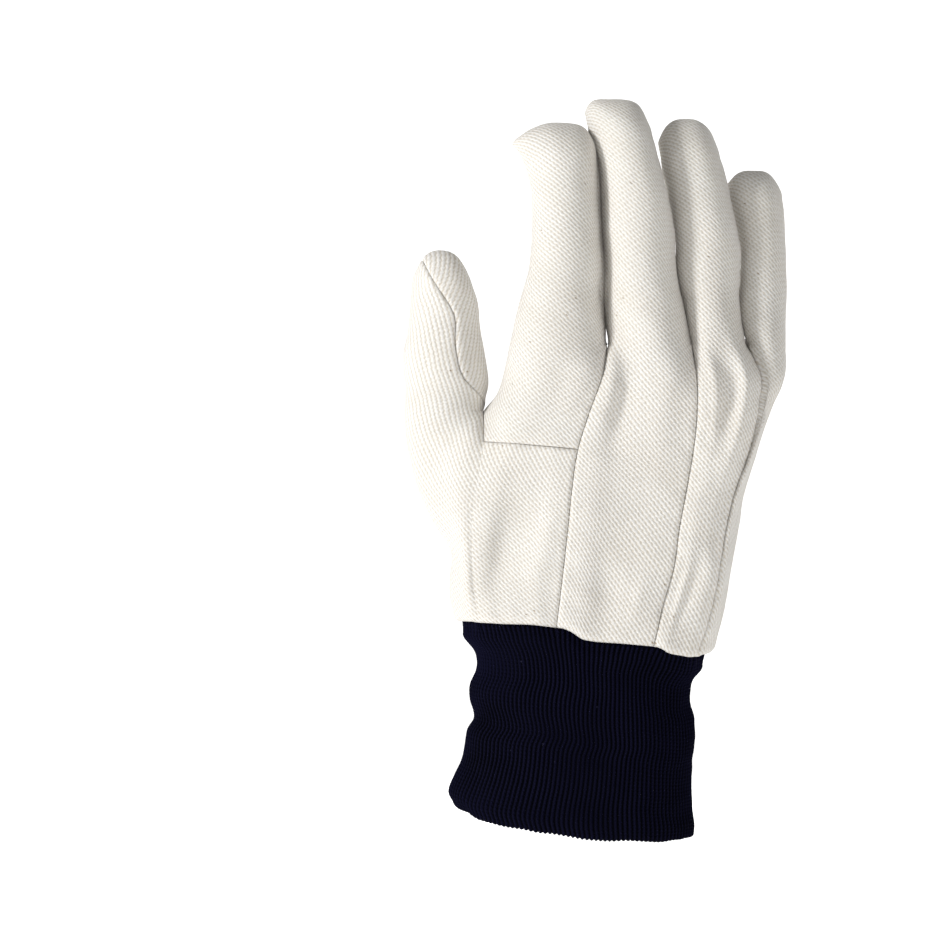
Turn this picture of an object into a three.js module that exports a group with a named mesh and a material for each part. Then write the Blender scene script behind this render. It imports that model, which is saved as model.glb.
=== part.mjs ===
import * as THREE from 'three';
import { mergeVertices } from 'three/addons/utils/BufferGeometryUtils.js';

// A cotton work glove for the right hand with a knitted wrist, in millimetres.
// +Z runs from the wrist opening to the fingertips, the back of the hand faces
// -Y and the thumb lies at -X. The origin is the centre of the wrist opening.

// Driving sizes
const CLOTH = 1.4;           // wall of the cotton drill
const KNIT = 2.8;            // wall of the knitted cuff, two layers
const SEAM_GAP = 0.35;       // space between two panels along their seam
const CUFF_HEIGHT = 66;      // hem to the seam with the cloth
const CUFF_WIDTH = 84;       // cuff at its waist, side to side
const CUFF_DEPTH = 46;       // cuff at its waist, back to palm
const TUCK = 4;              // how far the cuff reaches up inside the cloth
const TUCK_GAP = 0.5;        // space between the two there
const MOUTH_WIDTH = 92.5;    // cloth body along the cuff seam
const MOUTH_DEPTH = 48;
const PALM_WIDTH = 100;      // across the palm below the fingers
const PALM_DEPTH = 40;
const HAND_LENGTH = 105;     // cuff seam to the finger crotches
const THUMB_CROTCH = 81;     // cuff seam to the thumb crotch
const CROSS_SEAM = 69;       // cuff seam to the seam under the index finger
const CROSS_SLANT = 3.2;     // that seam drops towards the middle finger
const SEAM_RISE = 12;        // the cuff seam is higher at the thumb side
const HEM_RISE = 12;         // and so is the hem
const FINGER_GAP = 1.4;      // clear space between two fingers
const INDEX_FROM_WRIST = -3.5;  // index axis from the wrist centre
const THUMB_FROM_WRIST = -47;   // thumb axis from the wrist centre
const FINGER_WEB = 26;       // depth of the valley below a finger crotch
const THUMB_WEB = 22;
const SLIT_GAP = 0.6;        // left of the slit between index and middle finger
const SLIT_LEAN = 0.31;      // how far their palm sides lean over it
const CROTCH_PINCH = 1.45;   // how steeply the cloth dives into a crotch, radians
const SEAM_PINCH = 0.1;      // and along the lines between the strips
const CROTCH_EASE = 1.1;     // the thumb panels keep back this far at the crotch
const FOLD_DEPTH = 2.4;      // deepest fold of the worn cloth
const FOLD_WIDTH = 9;

// Mesh steps
const QUARTER_STEPS = 3;
const LOW_ROWS = 8;
const MID_ROWS = 2;
const WEB_ROWS = 4;
const TIP_ROWS = [0.12, 0.25, 0.38, 0.5, 0.62, 0.73, 0.82, 0.89, 0.94, 0.975, 1];

// One row per digit: length from its crotch to its tip, width, depth, the share
// of the finger gap that it keeps to the digit before it, how far its corners
// drop from the tip and how square they are, and the length of the rounded end
// as a share of its depth.
const DIGITS = [
  { name: 'thumb', root: THUMB_CROTCH, length: 58.5, width: 27, depth: 26,
    apart: 0, dropLeft: 9, dropRight: 9, squareLeft: 2.6, squareRight: 2.6, dome: 0.55 },
  { name: 'index', root: HAND_LENGTH, length: 80, width: 25, depth: 24,
    apart: 0, dropLeft: 7, dropRight: 6, squareLeft: 1.8, squareRight: 7, dome: 0.5 },
  { name: 'middle', root: HAND_LENGTH, length: 89, width: 26, depth: 25,
    apart: 1, dropLeft: 5.4, dropRight: 11, squareLeft: 7, squareRight: 3.5, dome: 0.5 },
  { name: 'ring', root: HAND_LENGTH, length: 82, width: 21.5, depth: 23,
    apart: 1, dropLeft: 9, dropRight: 9, squareLeft: 3, squareRight: 3, dome: 0.55 },
  { name: 'little', root: HAND_LENGTH, length: 63.5, width: 17, depth: 20,
    apart: 0, dropLeft: 7, dropRight: 8, squareLeft: 3, squareRight: 3.5, dome: 0.55 },
];

// Sides and depth of each digit along its length. at: share of the length from
// crotch to corner; left, right: sides from the digit's axis, shares of its
// width; mid: middle of its depth and half: half depth, shares of its depth.
const DIGIT_ROWS = {
  thumb: [
    { at: 0, left: -0.54, right: 0.52, mid: 0.3, half: 0.5 },
    { at: 0.18, left: -0.525, right: 0.59, mid: 0.34, half: 0.5 },
    { at: 0.4, left: -0.555, right: 0.555, mid: 0.38, half: 0.5 },
    { at: 0.6, left: -0.485, right: 0.49, mid: 0.4, half: 0.48 },
    { at: 0.8, left: -0.445, right: 0.45, mid: 0.38, half: 0.46 },
    { at: 1, left: -0.41, right: 0.33, mid: 0.34, half: 0.44 },
  ],
  index: [
    { at: 0, left: -0.812, right: 0.61, mid: -0.04, half: 0.58 },
    { at: 0.22, left: -0.65, right: 0.5, mid: 0, half: 0.54 },
    { at: 0.37, left: -0.525, right: 0.515, mid: 0.03, half: 0.52 },
    { at: 0.52, left: -0.49, right: 0.49, mid: 0.08, half: 0.51 },
    { at: 0.72, left: -0.49, right: 0.46, mid: 0.18, half: 0.5 },
    { at: 0.84, left: -0.55, right: 0.465, mid: 0.26, half: 0.49 },
    { at: 0.95, left: -0.67, right: 0.44, mid: 0.34, half: 0.48 },
    { at: 1, left: -0.79, right: 0.37, mid: 0.38, half: 0.48 },
  ],
  middle: [
    { at: 0, left: -0.45, right: 0.71, mid: -0.05, half: 0.6 },
    { at: 0.2, left: -0.44, right: 0.58, mid: 0.02, half: 0.54 },
    { at: 0.35, left: -0.445, right: 0.505, mid: 0.07, half: 0.52 },
    { at: 0.52, left: -0.48, right: 0.48, mid: 0.14, half: 0.5 },
    { at: 0.69, left: -0.505, right: 0.39, mid: 0.24, half: 0.5 },
    { at: 0.85, left: -0.605, right: 0.275, mid: 0.37, half: 0.49 },
    { at: 0.95, left: -0.72, right: 0.19, mid: 0.46, half: 0.48 },
    { at: 1, left: -0.775, right: 0.16, mid: 0.5, half: 0.48 },
  ],
  ring: [
    { at: 0, left: -0.3, right: 0.62, mid: 0.08, half: 0.62 },
    { at: 0.2, left: -0.43, right: 0.486, mid: 0.24, half: 0.53 },
    { at: 0.36, left: -0.55, right: 0.523, mid: 0.33, half: 0.5 },
    { at: 0.5, left: -0.58, right: 0.514, mid: 0.42, half: 0.49 },
    { at: 0.64, left: -0.63, right: 0.421, mid: 0.53, half: 0.49 },
    { at: 0.82, left: -0.755, right: 0.305, mid: 0.7, half: 0.48 },
    { at: 0.93, left: -0.83, right: 0.19, mid: 0.81, half: 0.47 },
    { at: 1, left: -0.87, right: 0.12, mid: 0.87, half: 0.47 },
  ],
  little: [
    { at: 0, left: -0.34, right: 0.5, mid: 0.42, half: 0.62 },
    { at: 0.2, left: -0.45, right: 0.518, mid: 0.6, half: 0.53 },
    { at: 0.4, left: -0.5, right: 0.524, mid: 0.74, half: 0.5 },
    { at: 0.6, left: -0.49, right: 0.518, mid: 0.9, half: 0.49 },
    { at: 0.8, left: -0.6, right: 0.482, mid: 1.08, half: 0.48 },
    { at: 0.93, left: -0.74, right: 0.441, mid: 1.2, half: 0.47 },
    { at: 1, left: -0.8, right: 0.42, mid: 1.28, half: 0.47 },
  ],
};

// Index side of the hand from the thumb crotch up to the root of the finger.
// at: share of that stretch; left: from the index axis, share of its width.
const INDEX_ROOT = [
  { at: 0.26, left: -0.985 },
  { at: 0.52, left: -0.905 },
];

// Lines that divide the hand into strips below the crotches. at: share of the
// height to the crotch; x of the line on the back and on the palm side, shares
// of the palm width, in the first row of the mouth width.
const LINES = [
  [
    { at: 0, back: -0.37, palm: -0.314 },
    { at: 0.17, back: -0.365, palm: -0.29 },
    { at: 0.34, back: -0.372, palm: -0.281 },
    { at: 0.5, back: -0.37, palm: -0.286 },
    { at: 0.66, back: -0.352, palm: -0.295 },
    { at: 0.85, back: -0.33, palm: -0.31 },
  ],
  [
    { at: 0, back: -0.074, palm: -0.086 },
    { at: 0.13, back: -0.053, palm: -0.06 },
    { at: 0.26, back: -0.038, palm: -0.04 },
    { at: 0.38, back: -0.025, palm: -0.01 },
    { at: 0.51, back: -0.012, palm: 0.02 },
    { at: 0.654, back: 0.008, palm: 0.05 },
    { at: 0.77, back: 0.048, palm: 0.08 },
    { at: 0.89, back: 0.095, palm: 0.105 },
  ],
  [
    { at: 0, back: 0.304, palm: 0.26 },
    { at: 0.13, back: 0.315, palm: 0.27 },
    { at: 0.26, back: 0.354, palm: 0.3 },
    { at: 0.38, back: 0.372, palm: 0.33 },
    { at: 0.51, back: 0.398, palm: 0.36 },
    { at: 0.654, back: 0.423, palm: 0.385 },
    { at: 0.77, back: 0.437, palm: 0.405 },
    { at: 0.89, back: 0.436, palm: 0.415 },
  ],
  [
    { at: 0, back: 0.475, palm: 0.44 },
    { at: 0.13, back: 0.487, palm: 0.44 },
    { at: 0.26, back: 0.52, palm: 0.47 },
    { at: 0.38, back: 0.54, palm: 0.5 },
    { at: 0.51, back: 0.572, palm: 0.53 },
    { at: 0.654, back: 0.628, palm: 0.57 },
    { at: 0.77, back: 0.663, palm: 0.6 },
    { at: 0.89, back: 0.675, palm: 0.615 },
  ],
];

// Outer sides of the hand. at: share of the height to the thumb crotch (left)
// or to the finger crotch (right); x: share of the palm width, in the first
// row of the mouth width; mid: where the side lies in depth, share of the
// palm depth.
const THUMB_SIDE = [
  { at: 0, x: -0.467, mid: 0.02 },
  { at: 0.17, x: -0.454, mid: 0.04 },
  { at: 0.34, x: -0.452, mid: 0.07 },
  { at: 0.49, x: -0.52, mid: 0.11 },
  { at: 0.66, x: -0.57, mid: 0.15 },
  { at: 0.85, x: -0.607, mid: 0.18 },
];
const LITTLE_SIDE = [
  { at: 0, x: 0.533, mid: 0.02 },
  { at: 0.13, x: 0.538, mid: 0.05 },
  { at: 0.26, x: 0.565, mid: 0.08 },
  { at: 0.38, x: 0.59, mid: 0.1 },
  { at: 0.51, x: 0.613, mid: 0.12 },
  { at: 0.654, x: 0.66, mid: 0.15 },
  { at: 0.77, x: 0.706, mid: 0.17 },
  { at: 0.89, x: 0.758, mid: 0.19 },
];

// Height of the five strips of the hand, thumb to little finger, on the back
// and on the palm side, shares of the palm depth, in the first row of the
// mouth depth. at: share of the hand length.
const CROWNS = [
  { at: 0, back: [-0.24, -0.42, -0.45, -0.4, -0.2], palm: [0.26, 0.42, 0.46, 0.42, 0.24] },
  { at: 0.25, back: [-0.28, -0.46, -0.5, -0.45, -0.27], palm: [0.42, 0.55, 0.5, 0.47, 0.42] },
  { at: 0.5, back: [-0.2, -0.44, -0.48, -0.42, -0.25], palm: [0.52, 0.57, 0.42, 0.42, 0.5] },
  { at: 0.72, back: [-0.13, -0.42, -0.475, -0.39, -0.2], palm: [0.54, 0.46, 0.37, 0.41, 0.54] },
  { at: 0.88, back: [0, -0.4, -0.46, -0.36, -0.14], palm: [0, 0.38, 0.36, 0.41, 0.54] },
];

// How far the seams of the thumb are turned round it, in quarter turns, towards
// the palm at its left and towards the back at its right. at: 0 at the cuff, 1
// at the thumb crotch, 2 at the tip.
const THUMB_TURN = [
  { at: 0, left: 0.1, right: 0 },
  { at: 1, left: 0.35, right: 0 },
  { at: 1.2, left: 0.55, right: 0.7 },
  { at: 1.4, left: 0.7, right: 0.82 },
  { at: 1.6, left: 0.8, right: 0.83 },
  { at: 1.8, left: 0.75, right: 1.2 },
  { at: 2, left: 0.5, right: 1.5 },
];

// Height of the cuff seam round the glove, share of its rise. across: 0 at the
// thumb side to 5 at the little finger's side.
const SEAM_WAVE = [
  { across: 0, back: 0.46, palm: 0.46 },
  { across: 1, back: 0.43, palm: 0.46 },
  { across: 2, back: 0.3, palm: 0.36 },
  { across: 2.3, back: -0.06, palm: 0.3 },
  { across: 3, back: -0.26, palm: 0.08 },
  { across: 3.5, back: -0.52, palm: -0.1 },
  { across: 4, back: -0.62, palm: -0.3 },
  { across: 5, back: -0.5, palm: -0.5 },
];

// Main folds and valleys of the worn cloth. side: -1 back, 1 palm; from and to:
// [across, at], where at is a share of the hand length, and 1 more than the
// share of a digit's length above its crotch; wide and deep: shares of
// the fold width and the fold depth, a negative depth is a ridge.
const FOLDS = [
  { side: -1, from: [4.15, 1.0], to: [3.8, 0.35], wide: 0.5, deep: 1 },
  { side: -1, from: [3.5, 1.05], to: [3.45, 0.75], wide: 0.4, deep: 0.6 },
  { side: -1, from: [3.75, 0.95], to: [3.6, 0.6], wide: 0.4, deep: -0.6 },
  { side: -1, from: [2.35, 1.12], to: [2.4, 0.6], wide: 0.9, deep: 0.5 },
  { side: -1, from: [1.75, 0.6], to: [1.3, 0.05], wide: 0.9, deep: 0.8 },
  { side: -1, from: [0.9, 0.62], to: [0.85, 0.25], wide: 0.9, deep: -0.4 },
  { side: -1, from: [3.15, 0.25], to: [3.05, 0.02], wide: 0.35, deep: 0.5 },
  { side: -1, from: [1.2, 0.3], to: [1.15, 0.02], wide: 0.5, deep: 0.3 },
  { side: 1, from: [3, 1.02], to: [1.9, 0.72], wide: 0.9, deep: 1 },
  { side: 1, from: [1.9, 0.72], to: [1.1, 0.7], wide: 0.8, deep: 0.9 },
  { side: 1, from: [4, 1.02], to: [3.9, 0.5], wide: 0.6, deep: 0.8 },
  { side: 1, from: [4.8, 1.04], to: [4.05, 0.99], wide: 0.45, deep: 0.9 },
  { side: 1, from: [3.6, 0.5], to: [3.3, 0.08], wide: 0.7, deep: 0.5 },
  { side: 1, from: [2.6, 0.6], to: [2.3, 0.1], wide: 0.8, deep: 0.4 },
  { side: 1, from: [1.9, 1.06], to: [1.35, 1.0], wide: 0.5, deep: 0.6 },
];

// Cuff sections below the cloth. at: share of the cuff height from the hem;
// left, right: sides, shares of the cuff width; back, palm: shares of its depth.
const CUFF_ROWS = [
  { at: 0, left: -0.519, right: 0.51, back: -0.5, palm: 0.5 },
  { at: 0.05, left: -0.536, right: 0.514, back: -0.512, palm: 0.51 },
  { at: 0.14, left: -0.51, right: 0.501, back: -0.505, palm: 0.5 },
  { at: 0.22, left: -0.485, right: 0.499, back: -0.495, palm: 0.49 },
  { at: 0.31, left: -0.467, right: 0.498, back: -0.488, palm: 0.483 },
  { at: 0.4, left: -0.458, right: 0.502, back: -0.482, palm: 0.478 },
  { at: 0.465, left: -0.431, right: 0.508, back: -0.478, palm: 0.474 },
  { at: 0.57, left: -0.452, right: 0.512, back: -0.475, palm: 0.472 },
  { at: 0.645, left: -0.448, right: 0.509, back: -0.472, palm: 0.47 },
  { at: 0.72, left: -0.42, right: 0.496, back: -0.47, palm: 0.468 },
  { at: 0.79, left: -0.42, right: 0.496, back: -0.468, palm: 0.466 },
  { at: 0.85, left: -0.433, right: 0.504, back: -0.468, palm: 0.466 },
  { at: 0.92, left: -0.478, right: 0.548, back: -0.47, palm: 0.468 },
];
const HEM_SAG = [
  { across: 0, back: 0.58, palm: 0.58 },
  { across: 1, back: 0.17, palm: 0.42 },
  { across: 2, back: -0.27, palm: 0.25 },
  { across: 3, back: -0.48, palm: 0.1 },
  { across: 4, back: -0.46, palm: -0.1 },
  { across: 5, back: -0.38, palm: -0.38 },
];

// Finishes
const naturalDrill = { color: 0xe4e0d6, roughness: 0.95, metalness: 0 };
const navyKnit = { color: 0x0b0b22, roughness: 0.9, metalness: 0 };

const BACK = -1;
const PALM = 1;
const THUMB = 0;
const INDEX = 1;
const MIDDLE = 2;
const RING = 3;
const LITTLE = 4;
const ROUND = 0.5523;        // handle of a quarter arc
const FREE = Math.PI / 2;

const clamp = (value, low, high) => Math.min(high, Math.max(low, value));
const mix = (a, b, share) => a + (b - a) * share;

// A smooth curve through rows of [place, value].
function through(points, place) {
  const last = points.length - 1;
  if (place <= points[0][0]) {
    return points[0][1];
  }
  if (place >= points[last][0]) {
    return points[last][1];
  }
  let i = 0;
  while (place > points[i + 1][0]) {
    i += 1;
  }
  const slope = (k) => {
    const a = points[Math.max(k - 1, 0)];
    const b = points[Math.min(k + 1, last)];
    return (b[1] - a[1]) / (b[0] - a[0]);
  };
  const step = points[i + 1][0] - points[i][0];
  const t = (place - points[i][0]) / step;
  const rise = points[i + 1][1] - points[i][1];
  const m0 = slope(i) * step;
  const m1 = slope(i + 1) * step;
  return points[i][1] + t * (m0 + t * (3 * rise - 2 * m0 - m1 + t * (m0 + m1 - 2 * rise)));
}

const rowsOf = (rows, place, key) => rows.map((row) => [row[place], row[key]]);

// Axis of each digit, side by side from the index finger on.
const axes = [THUMB_FROM_WRIST, INDEX_FROM_WRIST];
for (let k = MIDDLE; k <= LITTLE; k += 1) {
  const before = DIGITS[k - 1];
  const digit = DIGITS[k];
  axes[k] = axes[k - 1] + (before.width + digit.width) / 2 + digit.apart * FINGER_GAP;
}

const topOf = (column) => DIGITS[column].root + DIGITS[column].length;
const shareUp = (column, height) => (height - DIGITS[column].root) / DIGITS[column].length;
const rowValue = (column, key, share) =>
  through(rowsOf(DIGIT_ROWS[DIGITS[column].name], 'at', key), clamp(share, 0, 1));
const sideX = (column, key, share) =>
  axes[column] + DIGITS[column].width * rowValue(column, key, share);
const middleY = (column, share) => DIGITS[column].depth * rowValue(column, 'mid', share);

// The four crotches: line 1 lies between thumb and index finger, line 4 between
// ring and little finger.
const crotches = [];
for (let line = 1; line <= 4; line += 1) {
  crotches[line] = {
    height: DIGITS[line - 1].root,
    x: (sideX(line - 1, 'right', 0) + (line === 1 ? sideX(0, 'right', 0) : sideX(line, 'left', 0))) / 2,
    y: (middleY(line - 1, 0) + (line === 1 ? middleY(0, 0) : middleY(line, 0))) / 2,
    web: line === 1 ? THUMB_WEB : FINGER_WEB,
  };
}

// Depth of the crown of a strip or digit on one side, at a height above the
// cuff seam.
function crownY(column, side, height) {
  const digit = DIGITS[column];
  const key = side === BACK ? 'back' : 'palm';
  const points = [];
  for (const row of CROWNS) {
    const up = row.at * HAND_LENGTH;
    if (up < digit.root - 1) {
      points.push([up, row[key][column] * (row.at === 0 ? MOUTH_DEPTH : PALM_DEPTH)]);
    }
  }
  for (const row of DIGIT_ROWS[digit.name]) {
    points.push([digit.root + row.at * digit.length, digit.depth * (row.mid + side * row.half)]);
  }
  return through(points, height);
}

const seamWidth = (row) => (row.at === 0 ? MOUTH_WIDTH : PALM_WIDTH);

// Rounding of the end of a digit: 1 along it, 0 at the very tip.
function domeOf(column, height) {
  const digit = DIGITS[column];
  const end = digit.dome * digit.depth;
  const q = clamp((height - topOf(column) + end) / end, 0, 1);
  return Math.sqrt(1 - q * q);
}

// One of the six lines that bound the strips, as seen by the strip beside it.
function edgeAt(line, side, height, column) {
  const crotch = crotches[line];
  const digit = DIGITS[column];
  const share = shareUp(column, height);
  if (crotch && height <= crotch.height) {
    const key = side === BACK ? 'back' : 'palm';
    const base = line === 1 ? THUMB_CROTCH : HAND_LENGTH;
    const points = LINES[line - 1].map((row) => [row.at * base, row[key] * seamWidth(row)]);
    points.push([crotch.height, crotch.x]);
    const q = clamp((crotch.height - height) / crotch.web, 0, 1);
    const open = Math.sqrt(1 - (1 - q) * (1 - q));
    const ease = q * q * (3 - 2 * q);
    const left = crownY(line - 1, side, height);
    const right = crownY(line, side, height);
    return {
      x: through(points, height),
      y: mix(crotch.y, (left + right) / 2, open),
      open,
      ease,
    };
  }
  if (line === 0 && share < 0) {
    const points = THUMB_SIDE.map((row) => [row.at * THUMB_CROTCH, row.x * seamWidth(row)]);
    const depths = THUMB_SIDE.map((row) => [row.at * THUMB_CROTCH, row.mid * PALM_DEPTH]);
    points.push([digit.root, sideX(THUMB, 'left', 0)]);
    depths.push([digit.root, middleY(THUMB, 0)]);
    return { x: through(points, height), y: through(depths, height), open: 0, ease: 0 };
  }
  if (line === 5 && share < 0) {
    const points = LITTLE_SIDE.map((row) => [row.at * HAND_LENGTH, row.x * seamWidth(row)]);
    const depths = LITTLE_SIDE.map((row) => [row.at * HAND_LENGTH, row.mid * PALM_DEPTH]);
    points.push([digit.root, sideX(LITTLE, 'right', 0)]);
    depths.push([digit.root, middleY(LITTLE, 0)]);
    return { x: through(points, height), y: through(depths, height), open: 0, ease: 0 };
  }
  if (line === 1 && column === INDEX && share < 0) {
    const span = HAND_LENGTH - THUMB_CROTCH;
    const points = [[THUMB_CROTCH, crotches[1].x]];
    for (const row of INDEX_ROOT) {
      points.push([THUMB_CROTCH + row.at * span, axes[INDEX] + row.left * digit.width]);
    }
    points.push([HAND_LENGTH, sideX(INDEX, 'left', 0)]);
    const up = (height - THUMB_CROTCH) / span;
    return { x: through(points, height), y: mix(crotches[1].y, middleY(INDEX, 0), up), open: 0, ease: 0 };
  }
  const key = line === column ? 'left' : 'right';
  const start = line === column && column !== INDEX && column !== THUMB ? crotches[line] : null;
  const other = key === 'right' && crotches[line] ? crotches[line] : start;
  const own = sideX(column, key, share);
  const snap = other ? (other.x - sideX(column, key, 0)) * clamp(1 - share / 0.2, 0, 1) : 0;
  const drift = other ? (other.y - middleY(column, 0)) * clamp(1 - share / 0.2, 0, 1) : 0;
  return { x: own + snap, y: middleY(column, share) + drift, open: 0, ease: 0 };
}

function crownOf(column, side, height) {
  const left = edgeAt(column, side, height, column);
  const right = edgeAt(column + 1, side, height, column);
  return { x: (left.x + right.x) / 2, y: crownY(column, side, height) };
}

// Height of the cuff seam above its mean.
function seamLift(side, across) {
  const key = side === BACK ? 'back' : 'palm';
  return SEAM_RISE * through(rowsOf(SEAM_WAVE, 'across', key), across);
}

// How far the palm side leans over the slit between index and middle finger, so
// that the slit is closed there.
function flareAt(line, side, height) {
  if (line !== MIDDLE || side === BACK) {
    return 0;
  }
  const index = sideX(INDEX, 'right', shareUp(INDEX, height));
  const middle = sideX(MIDDLE, 'left', shareUp(MIDDLE, height));
  return SLIT_LEAN * Math.sqrt(Math.max(middle - index - SLIT_GAP, 0));
}

const quarter = (a, b, c, d, t) => {
  const u = 1 - t;
  return a * u * u * u + 3 * b * u * u * t + 3 * c * u * t * t + d * t * t * t;
};

// A point of the cloth's outer face: strip or digit, side, height above the
// cuff seam, and share across it from left to right.
function bareSkin(column, side, height, across) {
  const digit = DIGITS[column];
  const left = edgeAt(column, side, height, column);
  const right = edgeAt(column + 1, side, height, column);
  const dome = domeOf(column, height);
  const crown = crownOf(column, side, height);
  const middle = (left.y + right.y) / 2;
  if (height > digit.root) {
    crown.y = mix(middle, crown.y, dome);
  }
  const outer = column === THUMB || column === LITTLE;
  const ease = outer ? Math.max(left.ease, right.ease) : Math.min(left.ease, right.ease);
  const slopeAt = (edge, line, outer) => {
    if (edge.open === 0) {
      return { x: -flareAt(line, side, height), y: outer };
    }
    const before = crownOf(line - 1, side, height);
    const after = crownOf(line, side, height);
    const base = Math.atan2(after.y - before.y, after.x - before.x);
    const pinch = CROTCH_PINCH * (1 - edge.open) + SEAM_PINCH;
    const turn = base + outer * pinch;
    return { x: Math.cos(turn), y: Math.sin(turn) };
  };
  // On each side the cloth rises out of its left edge and falls to its right.
  const out = slopeAt(left, column, side);
  const back = slopeAt(right, column + 1, -side);
  const tilt = ease * Math.atan2(right.y - left.y, right.x - left.x);
  const crest = { x: Math.cos(tilt), y: Math.sin(tilt) };
  const handle = (way, dx, dy) =>
    ROUND * (Math.abs(way.x) * Math.abs(dx) + Math.abs(way.y) * Math.abs(dy));
  let x;
  let y;
  if (across < 0.5) {
    const dx = crown.x - left.x;
    const dy = crown.y - left.y;
    const h0 = handle(out, dx, dy);
    const h1 = handle(crest, dx, dy);
    const t = across * 2;
    x = quarter(left.x, left.x + out.x * h0, crown.x - crest.x * h1, crown.x, t);
    y = quarter(left.y, left.y + out.y * h0, crown.y - crest.y * h1, crown.y, t);
  } else {
    const dx = right.x - crown.x;
    const dy = right.y - crown.y;
    const h0 = handle(crest, dx, dy);
    const h1 = handle(back, dx, dy);
    const t = across * 2 - 1;
    x = quarter(crown.x, crown.x + crest.x * h0, right.x - back.x * h1, right.x, t);
    y = quarter(crown.y, crown.y + crest.y * h0, right.y - back.y * h1, right.y, t);
  }
  let z = CUFF_HEIGHT + height;
  if (height < CROSS_SEAM) {
    z += seamLift(side, column + across) * (1 - height / CROSS_SEAM);
  }
  const slant = clamp(x / PALM_WIDTH + 0.17, -0.18, 0.18) / 0.36;
  z -= CROSS_SLANT * slant * Math.exp(-(((height - CROSS_SEAM) / THUMB_WEB) ** 2) * 4);
  if (height > digit.root) {
    const reach = (x - crown.x) / (right.x - left.x) * 2;
    const drop = reach < 0 ? digit.dropLeft : digit.dropRight;
    const square = reach < 0 ? digit.squareLeft : digit.squareRight;
    const round = Math.abs(clamp(reach, -1, 1)) ** square;
    z -= shareUp(column, height) * drop * round;
  }
  return new THREE.Vector3(x, y, z);
}

// Seams of the thumb are turned round it: its share across runs from seam to
// seam, on a loop of four quarters from the index side over the palm side.
function thumbPlace(side, height, across) {
  const crotch = DIGITS[THUMB].root;
  const at = height < crotch ? height / crotch : 1 + shareUp(THUMB, height);
  const turnLeft = through(rowsOf(THUMB_TURN, 'at', 'left'), at);
  const turnRight = through(rowsOf(THUMB_TURN, 'at', 'right'), at);
  const seam = 2 - turnLeft;
  const q = side === PALM
    ? mix(seam, -turnRight, across)
    : mix(seam, 4 - turnRight, across);
  const loop = (q + 4) % 4;
  const whole = side === BACK && q >= 4 ? 4 : loop;
  return whole < 2 ? { side: PALM, across: 1 - whole / 2 } : { side: BACK, across: (whole - 2) / 2 };
}

function placeOn(column, side, height, across) {
  return column === THUMB ? thumbPlace(side, height, across) : { side, across };
}

// Depth of the folds at a place, towards the inside.
function foldDepth(column, side, height, across) {
  const digit = DIGITS[column];
  const at = height < digit.root ? height / HAND_LENGTH : 1 + shareUp(column, height);
  const u = column + across;
  let depth = 0;
  for (const fold of FOLDS) {
    if (fold.side === side) {
      const runU = (fold.to[0] - fold.from[0]) * PALM_WIDTH / 4;
      const runV = (fold.to[1] - fold.from[1]) * HAND_LENGTH;
      const hereU = (u - fold.from[0]) * PALM_WIDTH / 4;
      const hereV = (at - fold.from[1]) * HAND_LENGTH;
      const along = (hereU * runU + hereV * runV) / (runU * runU + runV * runV);
      const near = clamp(along, 0, 1);
      const offU = hereU - near * runU;
      const offV = hereV - near * runV;
      const off = (offU * offU + offV * offV) / (fold.wide * FOLD_WIDTH) ** 2;
      depth += fold.deep * FOLD_DEPTH * Math.exp(-off) * Math.sin(Math.PI * mix(0.15, 0.85, near));
    }
  }
  const fromSeam = clamp(height / CROSS_SEAM * 4, 0, 1);
  return depth * fromSeam;
}

function normalAt(column, side, height, across) {
  const step = 0.01;
  const top = topOf(column);
  const s = clamp(across, step, 1 - step);
  const h = clamp(height, 0.3, top - 0.12);
  const point = (ds, dh) => {
    const place = placeOn(column, side, h + dh, s + ds);
    return bareSkin(column, place.side, h + dh, place.across);
  };
  const overS = point(step, 0).sub(point(-step, 0));
  const overH = point(0, 0.1).sub(point(0, -0.1));
  return overS.cross(overH).multiplyScalar(-side).normalize();
}

// Folds fade out towards the closed sides of a digit and of the hand.
function foldFade(column, height, across) {
  const share = (line) =>
    (crotches[line] ? THREE.MathUtils.smoothstep(crotches[line].height - height, 0, 6) : 0);
  const ramp = (distance, shared) =>
    mix(THREE.MathUtils.smoothstep(distance, 0, 0.22), 1, shared);
  return ramp(across, share(column)) * ramp(1 - across, share(column + 1));
}

// Direction out of the cloth at a place. On a line where two strips or two
// sides meet it is the middle of their directions, so their cut edges run
// side by side.
function outward(column, side, height, across) {
  const sum = normalAt(column, side, height, across);
  const line = across === 0 ? column : column + 1;
  const atSide = across === 0 || across === 1;
  const crotch = crotches[line];
  const shared = crotch && height < crotch.height + 0.01;
  if (atSide && shared) {
    const other = line === column ? column - 1 : column + 1;
    sum.add(normalAt(other, side, height, 1 - across));
    if (height > crotch.height - 0.01) {
      sum.add(normalAt(column, -side, height, across));
      sum.add(normalAt(other, -side, height, 1 - across));
    }
  } else if (column !== THUMB && (atSide || height > topOf(column) - 0.01)) {
    sum.add(normalAt(column, -side, height, across));
  }
  return sum.normalize();
}

function skin(column, side, height, across) {
  const place = placeOn(column, side, height, across);
  const point = bareSkin(column, place.side, height, place.across);
  const depth = foldDepth(column, place.side, height, place.across);
  point.y -= place.side * depth * foldFade(column, height, place.across);
  return point;
}

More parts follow.
